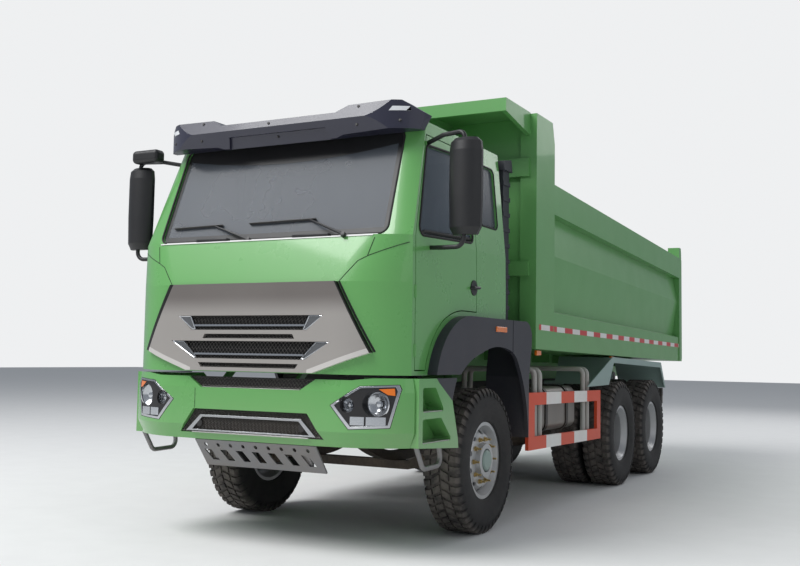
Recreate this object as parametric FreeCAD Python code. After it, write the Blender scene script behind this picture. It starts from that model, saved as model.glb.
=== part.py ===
import FreeCAD, Part
import math
import os

V = FreeCAD.Vector

# Places are in millimetres: x to the truck's left, y rearwards from the front axle, z up from the ground.
# Every piece is moved along y at the end, so that the middle of the whole truck lies at y = 0.

# Running gear
TYRE_R = 560.0
TYRE_W = 315.0
WHEELBASE = 3600.0
BOGIE_STEP = 1350.0
FRONT_WHEEL_X = 1011.0
REAR_INNER_X = 740.0
REAR_OUTER_X = 1090.0
RIM_R = 297.0
RIM_WELL_R = 252.0
RIM_W = 240.0
HUB_R = 138.0
SPINDLE_R = 45.0
REAR_SPINDLE_R = 60.0
SPIN_FIT = 0.4
KINGPIN_X = 820.0
CASING_R = 84.0
DIFF_NOSE = 330.0
KINGPIN_R = 22.0
BEAM_TOP = 520.0
PACK_H = 140.0
AXLE_Z = TYRE_R
HAND_HOLES = 10
HAND_HOLE_R = 30.0

# Frame rails
RAIL_IN = 340.0
RAIL_OUT = 430.0
RAIL_LOW = 830.0
RAIL_TOP = 1130.0
RAIL_WALL = 10.0
RAIL_FRONT = -1470.0
REAR_AXLE = WHEELBASE + BOGIE_STEP
BOGIE_MIDDLE = WHEELBASE + BOGIE_STEP / 2
REAR_HANG = 950.0
RAIL_REAR = REAR_AXLE + REAR_HANG
FRONT_CROSS = -1400.0
HINGE_Y = RAIL_REAR + 100.0
HINGE_Z = 1130.0
HINGE_PIN_R = 30.0
TOW_BORE_R = 25.0
TILT_Y = -1480.0
TILT_Z = 1100.0
TILT_PIN_R = 18.0
TILT_LUG_R = 34.0
TILT_LUG = (300.0, 332.0)
TILT_EAR = (268.0, 294.0)
TILT_TURN = math.radians(50.0)
SEAT_GAP = 0.3
DOOR_LUG_R = 12.0
DOOR_LUGS = (1400.0, 1800.0)
DOOR_LUG_H = 45.0
FLOOR_OVER_ARCH = 55.0

ENGINE_HALF = 300.0
ENGINE_REAR = 460.0

# Cab
NOSE = -1555.0
CAB_LOW = 1232.0
WAIST = 1858.0
COWL = 2180.0
ROOF = 3037.0
CAB_REAR = 325.0
CAB_HALF = 1170.0
PANEL = 45.0
DOOR_GAP = 8.0
DOOR_FRONT = -1300.0
DOOR_REAR = -265.0
DOOR_TOP = ROOF - 97.0
DOOR_LOW = 1262.0
GLASS_DEPTH = 14.0
GLASS = 6.0
GRILLE_T = 35.0

# Wheel arches of the front axle
ARCH_TOP = 1665.0
ARCH_OUT = 1245.0
ARCH_IN = 860.0
ARCH_SKIN = 25.0
SKIRT = 30.0
CAB_ARCH_END = 300.0
ARCH_GAP = 12.0
FLAP_FRONT = 660.0
FLAP_REAR = 676.0

# Bumper
BUMPER_TOP = 1212.0
BUMPER_LOW = 745.0
BUMPER_HALF = CAB_HALF + 30.0
BUMPER_T = 30.0
NOTCH_Z = 1118.0
SHOULDER = 1196.0
STEP_FRONT = -1330.0

# Load body
BED_FRONT = 850.0
BED_REAR = HINGE_Y + 510.0
BED_LOW_FRONT = 1440.0
BED_LOW_REAR = 1352.0
FLOOR_T = 80.0
BED_IN = 1100.0
BED_OUT = 1250.0
POST_FRONT = 819.0
POST_REAR = 1290.0
CANOPY_TOP = ROOF + 463.0
POST_TOP = CANOPY_TOP - 10.0
RAIL_H = 272.0
SILL_IN = RAIL_IN + 5.0
SILL_OUT = RAIL_OUT - 5.0
HOUSE_HALF = 150.0
HOUSE_TOP = 2330.0
HOUSE_LEAN = 0.335
HOUSE_SKIN = 30.0
REAR_POST = 130.0
CANOPY_FRONT = 250.0
CANOPY_LIP = CANOPY_TOP - 109.0
CHEEK_LOW = CANOPY_TOP - 206.0
CANOPY_T = 45.0
CANOPY_HALF = BED_OUT - 60.0
SILL_LOW = 1137.0
BEARERS = 9
TAILGATE_Y = BED_REAR + 8.0
TAILGATE_T = 42.0
TAILGATE_RIB = 80.0
GATE_PIN_Y = BED_REAR + 50.0
GATE_PIN_Z = 2840.0
GATE_PIN_R = 20.0
REAR_END = TAILGATE_Y + TAILGATE_T + TAILGATE_RIB

# Hoist
HOIST_BASE = V(0, 600, 900)
HOIST_EYE = V(0, 630, 2650)
HOIST_R = 110.0
STAGES = 3
STAGE_STEP = 12.0
STAGE_WALL = 8.0
EYE_R = 48.0
EYE_HALF = 55.0
ROD_EYE_HALF = 80.0
HOIST_PIN_R = 28.0

NOSE_TIP = NOSE - GRILLE_T
SHIFT_Y = -(NOSE_TIP + REAR_END) / 2

os.makedirs("parts", exist_ok=True)


def wire(place, items):
    """Closed wire: a pair is a corner, and a pair of pairs is an arc through the first to the second."""
    here = place(*items[0])
    edges = []
    for item in items[1:] + [items[0]]:
        if isinstance(item[0], tuple):
            middle, end = place(*item[0]), place(*item[1])
            edges.append(Part.Arc(here, middle, end).toShape())
        else:
            end = place(*item)
            if (end - here).Length > 0.001:
                edges.append(Part.LineSegment(here, end).toShape())
        here = end
    return Part.Wire(edges)


def slab_x(items, x0, x1):
    """Outline in the side view, as (y, z), carried from x0 to x1."""
    return Part.Face(wire(lambda y, z: V(x0, y, z), items)).extrude(V(x1 - x0, 0, 0))


def slab_y(items, y0, y1):
    """Outline in the front view, as (x, z), carried from y0 to y1."""
    return Part.Face(wire(lambda x, z: V(x, y0, z), items)).extrude(V(0, y1 - y0, 0))


def slab_z(items, z0, z1):
    """Outline in the plan view, as (x, y), carried from z0 to z1."""
    return Part.Face(wire(lambda x, y: V(x, y, z0), items)).extrude(V(0, 0, z1 - z0))


def softened(corners, radius):
    """The same outline with every corner rounded, in the form that wire takes."""
    items = []
    for k, corner in enumerate(corners):
        here = V(*corner, 0)
        back = (V(*corners[k - 1], 0) - here).normalize()
        ahead = (V(*corners[(k + 1) % len(corners)], 0) - here).normalize()
        half = back.getAngle(ahead) / 2
        reach = radius / math.tan(half)
        start = here + back * reach
        end = here + ahead * reach
        middle = here + (back + ahead).normalize() * (radius / math.sin(half) - radius)
        items += [(start.x, start.y), ((middle.x, middle.y), (end.x, end.y))]
    return items


def box(x0, x1, y0, y1, z0, z1):
    return Part.makeBox(x1 - x0, y1 - y0, z1 - z0, V(x0, y0, z0))


def rod(a, b, radius):
    return Part.makeCylinder(radius, (b - a).Length, a, b - a)


def tube(a, b, outer, inner):
    return rod(a, b, outer).cut(rod(a, b, inner))


def spun_x(items, y=0.0, z=0.0):
    """Profile of (x, radius) corners turned about a line along x."""
    face = Part.Face(wire(lambda x, r: V(x, y, z + r), items))
    return face.revolve(V(0, y, z), V(1, 0, 0), 360)


def pipe(points, radius, bend):
    """Round bar along straight runs joined by tangent arcs."""
    edges = []
    here = points[0]
    for before, corner, after in zip(points, points[1:], points[2:]):
        back = (before - corner).normalize()
        ahead = (after - corner).normalize()
        half = back.getAngle(ahead) / 2
        reach = bend / math.tan(half)
        start = corner + back * reach
        end = corner + ahead * reach
        inward = (back + ahead).normalize()
        middle = corner + inward * (bend / math.sin(half) - bend)
        edges.append(Part.LineSegment(here, start).toShape())
        edges.append(Part.Arc(start, middle, end).toShape())
        here = end
    edges.append(Part.LineSegment(here, points[-1]).toShape())
    path = Part.Wire(edges)
    ring = Part.Wire([Part.Circle(points[0], points[1] - points[0], radius).toShape()])
    return path.makePipeShell([ring], True, False)


def mirrored(shape):
    return shape.mirror(V(0, 0, 0), V(1, 0, 0))


def both(*shapes):
    return list(shapes) + [mirrored(shape) for shape in shapes]


def joined(shapes):
    return shapes[0].fuse(list(shapes[1:])).removeSplitter()


def rounded(shape, radius):
    return shape.makeFillet(radius, shape.Edges)


def loft(wires):
    return Part.makeLoft(wires, True, True)


def save(node, shapes):
    """Write the solids of one node, moved to the truck's own origin."""
    whole = Part.makeCompound([solid for shape in shapes for solid in shape.Solids])
    whole.translate(V(0, SHIFT_Y, 0))
    whole.exportStep("parts/" + node + ".step")


def plan(z, nose, flat, depth, half, rear, inset=0.0):
    """Cab or bumper seen from above: level nose, bowed corners and straight sides."""
    reach = half - flat
    radius = (reach ** 2 + depth ** 2) / (2 * depth)
    bow = radius - inset
    side = half - inset
    turn = math.asin((side - flat) / bow)

    def corner(angle, sign):
        return sign * (flat + bow * math.sin(angle)), nose + radius - bow * math.cos(angle)

    items = [(-side, rear - inset), corner(turn, -1), (corner(turn / 2, -1), (-flat, nose + inset)),
             (flat, nose + inset), (corner(turn / 2, 1), corner(turn, 1)), (side, rear - inset)]
    return wire(lambda x, y: V(x, y, z), items)


CORNER_FLAT = CAB_HALF - 470.0
CORNER_DEPTH = 215.0
PILLAR_FLAT = CAB_HALF - 210.0
PILLAR_DEPTH = 55.0
COWL_NOSE = -1460.0
COWL_FLAT = CAB_HALF - 310.0
GLASS_NOSE = -1392.0
ROOF_NOSE = -1077.0
ROOF_FLAT = CAB_HALF - 270.0
ROOF_DEPTH = 80.0
ROOF_HALF = CAB_HALF - 85.0
WAIST_HALF = CAB_HALF - 5.0
PILLAR_LEAN = (ROOF_NOSE - GLASS_NOSE) / (ROOF - COWL)
WINDOW_RIM = 35.734


def cab_block(inset=0.0):
    """Closed outer form of the cab, or the same form drawn in by a wall."""
    low = CAB_LOW - 300.0
    cowl = COWL - inset
    lower = loft([plan(low, NOSE, CORNER_FLAT, CORNER_DEPTH, CAB_HALF, CAB_REAR, inset),
                  plan(WAIST, NOSE, CORNER_FLAT, CORNER_DEPTH, CAB_HALF, CAB_REAR, inset)])
    middle = loft([plan(WAIST, NOSE, CORNER_FLAT, CORNER_DEPTH, CAB_HALF, CAB_REAR, inset),
                   plan(cowl, COWL_NOSE, COWL_FLAT, GLASS_NOSE + PILLAR_DEPTH - COWL_NOSE,
                        WAIST_HALF, CAB_REAR, inset)])
    upper = loft([plan(cowl, GLASS_NOSE, PILLAR_FLAT, PILLAR_DEPTH, WAIST_HALF, CAB_REAR, inset),
                  plan(ROOF - inset, ROOF_NOSE, ROOF_FLAT, ROOF_DEPTH, ROOF_HALF, CAB_REAR, inset)])
    return joined([lower, middle, upper])


ARCH_LOW = CAB_LOW + 4.0
ARCH_CURVE_A = ((-1000.0, 1440.0), (-850.0, 1570.0))
ARCH_CURVE_B = ((-690.0, 1640.0), (-500.0, ARCH_TOP))


def cab_underside(lift):
    """Lower edge of the cab in the side view, raised by lift over the wheel arch."""
    front = -1100.0 - lift
    return [(front, CAB_LOW), (front, ARCH_LOW),
            ((-1000.0 - lift, 1440.0 + 0.6 * lift), (-850.0 - 0.6 * lift, 1570.0 + lift)),
            ((-690.0 - 0.3 * lift, 1640.0 + lift), (-500.0, ARCH_TOP + lift))]


def door_outline(gap):
    """Door or its opening in the side view; the leaning front edge follows the windscreen pillar."""
    top_front = DOOR_FRONT + PILLAR_LEAN * (DOOR_TOP - COWL)
    sill = 35.0 + gap
    return [(DOOR_FRONT + gap, DOOR_LOW + gap), (DOOR_FRONT + gap, COWL), (top_front + gap, DOOR_TOP - gap),
            (DOOR_REAR - gap, DOOR_TOP - gap), (DOOR_REAR - gap, ARCH_TOP + sill), (-500.0, ARCH_TOP + sill),
            ((-694.0, 1640.0 + sill), (-850.0 - 0.6 * sill, 1570.0 + sill)),
            ((-1000.0 - sill, 1440.0 + 0.5 * sill), (-1100.0 - sill, DOOR_LOW + gap))]


GLASS_TOP = ROOF - 157.0
DOOR_WINDOW = [(-1240.0, COWL + 20),
               (DOOR_FRONT + WINDOW_RIM + PILLAR_LEAN * (GLASS_TOP - 30 - COWL), GLASS_TOP - 30),
               (-335.0, GLASS_TOP), (-335.0, COWL + 58)]
QUARTER_WINDOW = [(-150.0, GLASS_TOP - 480), (-150.0, GLASS_TOP), (190.0, GLASS_TOP),
                  (190.0, GLASS_TOP - 480)]
SCREEN = [(-988.0, COWL + 20), (-966.0, ROOF - 79), (966.0, ROOF - 79), (988.0, COWL + 20)]
SCREEN_ROUND = 55.0
WINDOW_ROUND = 45.0
REAR_WINDOW = [(-450.0, GLASS_TOP - 480), (-450.0, GLASS_TOP - 60), (450.0, GLASS_TOP - 60),
               (450.0, GLASS_TOP - 480)]
FAR = 2000.0


def hinge_lugs():
    """Lugs of one door hinge line, for the shell and for the door, each with the room cut for the other."""
    y = DOOR_FRONT + DOOR_GAP / 2
    third = DOOR_LUG_H / 3
    shell_lugs, door_lugs, shell_room, door_room = [], [], [], []
    for z in DOOR_LUGS:
        def lug(low, high, radius):
            return rod(V(CAB_HALF, y, z + low), V(CAB_HALF, y, z + high), radius)
        shell_lugs += [lug(-DOOR_LUG_H, -third, DOOR_LUG_R), lug(third, DOOR_LUG_H, DOOR_LUG_R)]
        door_lugs.append(lug(-third + SEAT_GAP, third - SEAT_GAP, DOOR_LUG_R))
        shell_room += [lug(-DOOR_LUG_H - 1, -third + SEAT_GAP, DOOR_LUG_R + 1),
                       lug(third - SEAT_GAP, DOOR_LUG_H + 1, DOOR_LUG_R + 1)]
        door_room.append(lug(-third, third, DOOR_LUG_R + 1))
    return shell_lugs, door_lugs, shell_room, door_room


def tilt_lug():
    """Leaning arm under the cab floor on the pin about which the cab tips forward.

    Its front edge lies back by the tilt, so that it stands upright behind the bumper mesh once tipped.
    """
    r = TILT_LUG_R
    sine, cosine = math.sin(TILT_TURN), math.cos(TILT_TURN)
    top = CAB_LOW + 8 - TILT_Z
    front = (top - r * sine) / cosine * sine - r * cosine
    slant = r * math.sqrt(0.5)
    items = [(-r * cosine, r * sine), ((-slant, -slant), (r, 0.0)), (r, 12.0),
             (front + 70.0, top), (front, top)]
    lug = slab_x(items, *TILT_LUG)
    lug.translate(V(0, TILT_Y, TILT_Z))
    return lug.cut(rod(V(0, TILT_Y, TILT_Z), V(FAR, TILT_Y, TILT_Z), TILT_PIN_R + SPIN_FIT))


def cab_pieces():
    """Hollow cab, both doors and all panes, cut from one skin so that they line up."""
    outer = cab_block()
    inner = cab_block(PANEL)
    low = cab_underside(SEAT_GAP)
    rear_edge = [(CAB_REAR, ARCH_TOP + SEAT_GAP), (CAB_REAR, ROOF + 1), (-FAR, ROOF + 1)]
    body = slab_x([(-FAR, CAB_LOW)] + low + rear_edge, -FAR, FAR)
    floor = ARCH_TOP + FLOOR_OVER_ARCH
    room = slab_x([(-FAR, CAB_LOW + PANEL), (-1160.0, CAB_LOW + PANEL), (-1020.0, 1520.0), (-880.0, 1640.0),
                   (-520.0, floor), (CAB_REAR, floor), (CAB_REAR, ROOF + 1), (-FAR, ROOF + 1)], -FAR, FAR)
    shell = outer.common(body).cut(inner.common(room))
    skin = outer.cut(inner)
    pane_skin = cab_block(GLASS_DEPTH).cut(cab_block(GLASS_DEPTH + GLASS))
    opening = slab_x(door_outline(0.0), 0, FAR)
    window = slab_x(softened(DOOR_WINDOW, WINDOW_ROUND), 0, FAR)
    quarter = slab_x(softened(QUARTER_WINDOW, WINDOW_ROUND), -FAR, FAR)
    screen = slab_y(softened(SCREEN, SCREEN_ROUND), -FAR, -700.0)
    rear = slab_y(softened(REAR_WINDOW, WINDOW_ROUND), 0, FAR)
    door = skin.common(slab_x(door_outline(DOOR_GAP), 0, FAR)).cut(window)
    pane = pane_skin.common(window)
    shell = shell.cut([opening, mirrored(opening), quarter, screen, rear])
    shell_lugs, door_lugs, shell_room, door_room = hinge_lugs()
    door = joined([door.cut(shell_room)] + door_lugs)
    shell = shell.cut(door_room + [mirrored(cutter) for cutter in door_room])
    shell = joined([shell] + both(*shell_lugs) + both(tilt_lug()))
    panes = [pane_skin.common(cutter) for cutter in (quarter, screen, rear)]
    return shell, door, pane, panes


GRILLE = [(-542.0, 1238.0), (-963.0, 1382.0), (-712.0, WAIST),
          (712.0, WAIST), (963.0, 1382.0), (542.0, 1238.0)]
SLOTS = [(622.0, 1630.0, 495.0, 1528.0), (378.0, 1500.0, 395.0, 1468.0),
         (680.0, 1450.0, 480.0, 1325.0), (430.0, 1296.0, 405.0, 1264.0)]
MESH_IN = 8.0
MESH_OUT = 15.0
MESH_BAR = 7.0
MESH_CELL = (96.0, 34.0)


def slot_windows(top_half, top_z, low_half, low_z):
    """Openings of the mesh in one slot, in rows that follow the slot's slanted ends."""
    rows = round((top_z - low_z) / MESH_CELL[1])
    rise = (top_z - low_z - MESH_BAR) / rows
    cuts = []
    for row in range(rows):
        z = low_z + MESH_BAR + row * rise
        shares = ((z - low_z) / (top_z - low_z), (z + rise - low_z) / (top_z - low_z))
        half = min(low_half + (top_half - low_half) * share for share in shares) - MESH_BAR
        columns = round(2 * half / MESH_CELL[0])
        run = 2 * half / columns
        for k in range(columns):
            x = -half + k * run
            cuts.append(box(x, x + run - MESH_BAR, -FAR, -1000, z, z + rise - MESH_BAR))
    return cuts


def grille():
    """Pale front panel with its slots, and the mesh set in them."""
    outline = slab_y(GRILLE, -FAR, -1000.0)
    slots = [slab_y([(-b, zb), (-a, za), (a, za), (b, zb)], -FAR, -1000.0) for a, za, b, zb in SLOTS]
    panel = cab_block(-GRILLE_T).cut(cab_block()).common(outline).cut(slots)
    sheet = cab_block(-MESH_OUT).cut(cab_block(-MESH_IN))
    return panel, [sheet.common(slot).cut(slot_windows(*sizes)) for slot, sizes in zip(slots, SLOTS)]


LAMP = [(668.0, 1027.0), (880.0, 1160.0), (1121.0, 1172.0), (1136.0, 1140.0), (1075.0, 883.0), (809.0, 868.0)]
LAMP_ROUNDS = [(795.0, 1030.0, 50.0), (985.0, 1040.0, 84.0)]
LAMP_DEPTH = 90.0
INTAKE = [(-615.0, 792.0), (-488.0, 964.0), (488.0, 964.0), (615.0, 792.0)]
BUMPER_LEVELS = ((BUMPER_LOW, 40.0), (850.0, 0.0), (NOTCH_Z, 0.0), (BUMPER_TOP, 16.0))


def bumper_block(inset=0.0, over=0.0):
    """Bumper's outer form: tucked in below, upright past the lamps and leaning back at the top."""
    wires = []
    for z, tuck in BUMPER_LEVELS:
        height = z + over * ((z == BUMPER_TOP) - (z == BUMPER_LOW))
        wires.append(plan(height, NOSE, CORNER_FLAT, CORNER_DEPTH - 5.0, BUMPER_HALF, -1200.0, inset + tuck))
    return loft(wires)


def bumper():
    """Bumper skin with its notch, intake and lamp openings; the mesh behind; the lamp units."""
    skin = bumper_block().cut(bumper_block(BUMPER_T, 10.0))
    half = [(FAR, 757.0), (FAR, BUMPER_TOP), (963.0, BUMPER_TOP), (820.0, SHOULDER), (545.0, SHOULDER),
            (425.0, NOTCH_Z)]
    low_edge = [(-1150.0, 750.0), (-420.0, BUMPER_LOW), (420.0, BUMPER_LOW), (1150.0, 750.0)]
    front = slab_y(low_edge + half + [(-x, z) for x, z in reversed(half)], -FAR, STEP_FRONT)
    lamp = slab_y(LAMP, -FAR, -1000.0)
    intake = slab_y(INTAKE, -FAR, -1000.0)
    body = skin.common(front).cut([intake, lamp, mirrored(lamp)])
    mesh_y = NOSE + BUMPER_T
    mesh = [box(-600, 600, mesh_y, mesh_y + 5, NOTCH_Z - 20, SHOULDER).cut(body),
            box(-640, 640, mesh_y, mesh_y + 5, 796, 980).cut(body)]
    back = loft([plan(z, NOSE, CORNER_FLAT, CORNER_DEPTH - 5.0, BUMPER_HALF, -1200.0, LAMP_DEPTH)
                 for z in (BUMPER_LOW, BUMPER_TOP + 10.0)])
    unit = bumper_block(4.0).common(slab_y(LAMP, -FAR, STEP_FRONT - 5.0)).cut(back)
    bowls = [rod(V(x, -FAR, z), V(x, NOSE + 0.3 * (x - CORNER_FLAT) + LAMP_DEPTH - 38.0, z), r)
             for x, z, r in LAMP_ROUNDS]
    return body, mesh, unit.cut(bowls)


STEP_SIDE = [(STEP_FRONT, 752.0), (STEP_FRONT, BUMPER_TOP), (-1062.0, BUMPER_TOP), (-1020.0, 1180.0),
             (-802.0, 1050.0), (-704.0, 780.0), (-694.0, 712.0)]
STEP_ROOM = [(-1290.0, 790.0), (-1290.0, 1170.0), (-1065.0, 1170.0), (-850.0, 1030.0), (-745.0, 760.0)]
STEP_IN = 800.0
STEP_OUT = 1225.0
STEP_DEPTH = 130.0
TREADS = [(776.0, 940.0, -800.0, -985.0), (985.0, 1150.0, -930.0, -1075.0)]


def step_box():
    """Green box behind the bumper with two steps let into its side."""
    body = slab_x(STEP_SIDE, STEP_IN, STEP_OUT)
    body = body.cut(slab_x(STEP_ROOM, STEP_IN + 25.0, STEP_OUT - STEP_DEPTH - 20.0))
    recesses = []
    for low, top, low_rear, top_rear in TREADS:
        outline = softened([(-1270.0, low), (-1270.0, top), (top_rear, top), (low_rear, low)], 18.0)
        recesses.append(slab_x(outline, STEP_OUT - STEP_DEPTH, FAR))
    return body.cut(recesses)


def loop_step():
    """Bent bar that hangs below the step box as the lowest foothold."""
    x = STEP_OUT - 40.0
    loop = pipe([V(x, -1290, 762), V(x, -1180, 600), V(x, -900, 606), V(x, -935, 742)], 17.0, 55.0)
    return loop.cut(step_box())


def skid_plate():
    """Slotted guard hung below the bumper on two arms from the frame rails."""
    top, low = (-1485.0, 738.0), (-1330.0, 540.0)
    lean = math.atan2(low[1] - top[1], low[0] - top[0])
    t = 12.0
    back = [(y - t * math.sin(lean), z + t * math.cos(lean)) for y, z in (low, top)]
    plate = slab_x([top, low] + back, -520, 520)
    cuts = []
    for k in range(7):
        x = -420.0 + 140.0 * k
        cuts.append(slab_y([(x - 20, 585.0), (x - 55, 665.0), (x + 5, 665.0), (x + 40, 585.0)], -FAR, 0))
    for k in range(9):
        cuts.append(rod(V(-440 + 110 * k, -FAR, 702), V(-440 + 110 * k, 0, 702), 14))
    arm = slab_x([(-1470.0, 735.0), (-1470.0, RAIL_LOW), (-1340.0, RAIL_LOW), (-1340.0, 570.0)], 350, 420)
    arm = arm.cut(plate)
    return joined([plate.cut(cuts), arm, mirrored(arm)])


def arch_flare():
    """Front arch on the cab: outer skirt and the cover over the wheel."""
    over = [(-1100.0, ARCH_LOW), ARCH_CURVE_A, ARCH_CURVE_B, (CAB_ARCH_END, ARCH_TOP)]
    skirt = slab_x(over + [(CAB_ARCH_END, 1408.0), ((-20.0, 1445.0), (-330.0, 1390.0)),
                           ((-560.0, 1320.0), (-705.0, ARCH_LOW))], ARCH_OUT - SKIRT, ARCH_OUT)
    s = ARCH_SKIN
    under = [(CAB_ARCH_END, ARCH_TOP - s), (-500.0, ARCH_TOP - s),
             ((-682.0, 1640.0 - s), (-836.0, 1570.0 - 0.9 * s)), ((-980.0, 1425.0), (-1100.0 + s, ARCH_LOW))]
    cover = slab_x(over + under, ARCH_IN, ARCH_OUT - SKIRT)
    return skirt.fuse(cover)


def mudguards():
    """Rear half of the front arch with its flap, and the short front leg over the step box."""
    front = CAB_ARCH_END + ARCH_GAP
    over = [(front, ARCH_TOP), (560.0, ARCH_TOP), ((680.0, 1640.0), (742.0, 1560.0)), (735.0, 1455.0),
            (FLAP_REAR, 1200.0), (FLAP_REAR, 700.0), (FLAP_FRONT, 700.0)]
    skirt = slab_x(over + [((570.0, 1100.0), (418.0, 1328.0)), ((365.0, 1375.0), (front, 1400.0))],
                   ARCH_OUT - SKIRT, ARCH_OUT)
    cover = slab_x(over + [(FLAP_FRONT, 1205.0), (712.0, 1458.0), (716.0, 1550.0),
                           ((660.0, 1618.0), (550.0, ARCH_TOP - ARCH_SKIN)), (front, ARCH_TOP - ARCH_SKIN)],
                   ARCH_IN, ARCH_OUT - SKIRT)
    arm = rod(V(RAIL_OUT, FLAP_REAR + 14, 1060), V(ARCH_IN + 60, FLAP_REAR + 14, 1060), 18).cut(cover)
    leg = slab_x([(-1062.0, BUMPER_TOP), (-722.0, BUMPER_TOP), ((-768.0, 1130.0), (-802.0, 1050.0)),
                  (-1020.0, 1180.0)], STEP_OUT - SKIRT, STEP_OUT)
    return both(joined([skirt, cover, arm]), leg)


FENDER_OUT = 1240.0
FENDER_IN = 645.0


def rear_fender():
    """Folded sheet over both rear wheels with its front gusset, carried on three arms."""
    a, b = WHEELBASE, REAR_AXLE
    side = slab_x([(a - 1283, 1088.0), (a - 386, 1387.0), (b + 419, 1333.0), (b + 655, 1015.0),
                   (b + 610, 1015.0), (b + 385, 1270.0), (a - 350, 1325.0), (a - 536, 1095.0)],
                  FENDER_OUT - 10, FENDER_OUT)
    top = slab_x([(a - 550, 1095.0), (a - 405, 1380.0), (a - 386, 1387.0), (b + 419, 1333.0),
                  (b + 655, 1015.0), (b + 640, 1015.0), (b + 412, 1323.0), (a - 380, 1377.0),
                  (a - 525, 1095.0)], FENDER_IN, FENDER_OUT - 10)
    fall = (1377.0 - 1323.0) / (b + 412 - (a - 380))
    arms = []
    for y in (a - 270, BOGIE_MIDDLE, b + 250):
        under = 1377.0 - (y - (a - 380)) * fall
        arms.append(rod(V(RAIL_OUT, y, 1100), V(FENDER_IN + 4, y, 1100), 22))
        arms.append(box(FENDER_IN, FENDER_IN + 10, y - 40, y + 40, 1088, under + 3))
    return joined([side, top] + arms)


def tyre_profile(x):
    """Section of a tyre as (x, radius): beads, bulged walls, rounded shoulders and crown."""
    w = TYRE_W / 2
    return [(x - RIM_W / 2, RIM_R), (x - w + 8, RIM_R + 60), (x - w, 0.78 * TYRE_R), (x - w + 4, TYRE_R - 50),
            (x - w + 28, TYRE_R), (x + w - 28, TYRE_R), (x + w - 4, TYRE_R - 50), (x + w, 0.78 * TYRE_R),
            (x + w - 8, RIM_R + 60), (x + RIM_W / 2, RIM_R)]


def tyre(x, y):
    return spun_x(tyre_profile(x), y, AXLE_Z)


def ring_holes(x0, x1, y, radius, count, hole):
    cuts = []
    for k in range(count):
        a = 2 * math.pi * (k + 0.5) / count
        cy, cz = y + radius * math.cos(a), AXLE_Z + radius * math.sin(a)
        cuts.append(rod(V(x0, cy, cz), V(x1, cy, cz), hole))
    return cuts


def front_rim(x, y):
    """Rim with its flanges and well, bulged disc with hand holes, hub and brake drum."""
    w = RIM_W / 2
    disc = x + 62.0
    barrel = spun_x([(x - w, RIM_R), (x - w, RIM_R - 26), (x - w + 70, RIM_WELL_R - 12),
                     (disc - 4, RIM_WELL_R - 12), (x + w, RIM_R - 26), (x + w, RIM_R), (x + w - 22, RIM_R),
                     (disc - 20, RIM_WELL_R), (x - w + 72, RIM_WELL_R), (x - w + 20, RIM_R)], y, AXLE_Z)
    bore = SPINDLE_R + SPIN_FIT
    web = spun_x([(disc - 6, RIM_WELL_R - 8), (disc + 38, 205), (disc + 40, 150), (disc + 40, HUB_R),
                  (disc + 78, HUB_R - 10), (disc + 80, 92), (disc + 52, 84), (disc + 52, bore),
                  (x - 45, bore), (x - 45, 96), (disc + 20, 100), (disc + 24, 205),
                  (disc - 20, RIM_WELL_R - 8)], y, AXLE_Z)
    web = web.cut(ring_holes(x, x + FAR, y, 222.0, HAND_HOLES, HAND_HOLE_R - 6))
    drum = spun_x([(x - 45, 60), (x - 45, 190), (x - 92, 196), (x - 92, 180), (x - 57, 178), (x - 57, 60)],
                  y, AXLE_Z)
    return joined([barrel, web, drum])


def rear_rims(y):
    """Pair of rims back to back on one hub, the outer one deeply dished."""
    w = RIM_W / 2
    mid = (REAR_INNER_X + REAR_OUTER_X) / 2
    bore = REAR_SPINDLE_R + SPIN_FIT
    parts = []
    for x, out in ((REAR_INNER_X, 1), (REAR_OUTER_X, -1)):
        far, near = x - out * w, x + out * w
        parts.append(spun_x([(far, RIM_R), (far, RIM_R - 26), (far + out * 60, RIM_WELL_R - 12),
                             (near - out * 20, RIM_WELL_R - 12), (mid, 232), (mid, 246),
                             (near - out * 14, RIM_WELL_R), (near, RIM_R - 22), (near, RIM_R),
                             (near - out * 20, RIM_R), (near - out * 40, RIM_WELL_R),
                             (far + out * 62, RIM_WELL_R), (far + out * 22, RIM_R)], y, AXLE_Z))
    disc = spun_x([(mid - 12, 244), (mid - 12, bore), (mid + 150, bore), (mid + 150, 60 + bore / 2),
                   (mid + 140, 112), (mid + 40, HUB_R - 8), (mid + 12, HUB_R + 20), (mid + 12, 244)],
                  y, AXLE_Z)
    disc = disc.cut(ring_holes(0, FAR, y, 205.0, HAND_HOLES, HAND_HOLE_R - 4))
    drum = spun_x([(mid - 12, 66), (mid - 12, 185), (mid - 230, 198), (mid - 230, 182), (mid - 30, 168),
                   (mid - 30, 66)], y, AXLE_Z)
    return joined(parts + [disc, drum])


def knuckle():
    """Yoke on the kingpin, brake plate and spindle of one front wheel."""
    z = AXLE_Z
    plate_x = FRONT_WHEEL_X - 112.0
    pin = rod(V(KINGPIN_X, 0, z - 135), V(KINGPIN_X, 0, z + 135), KINGPIN_R)
    ears = [rod(V(KINGPIN_X, 0, z + s * 92 - 20), V(KINGPIN_X, 0, z + s * 92 + 20), 46) for s in (-1, 1)]
    arms = [box(KINGPIN_X, plate_x, -40, 40, z + s * 92 - 20, z + s * 92 + 20) for s in (-1, 1)]
    plate = rod(V(plate_x - 8, 0, z), V(plate_x + 8, 0, z), 170)
    spindle = rod(V(plate_x, 0, z), V(FRONT_WHEEL_X + 108, 0, z), SPINDLE_R)
    return joined([pin, plate, spindle] + ears + arms)


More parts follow.
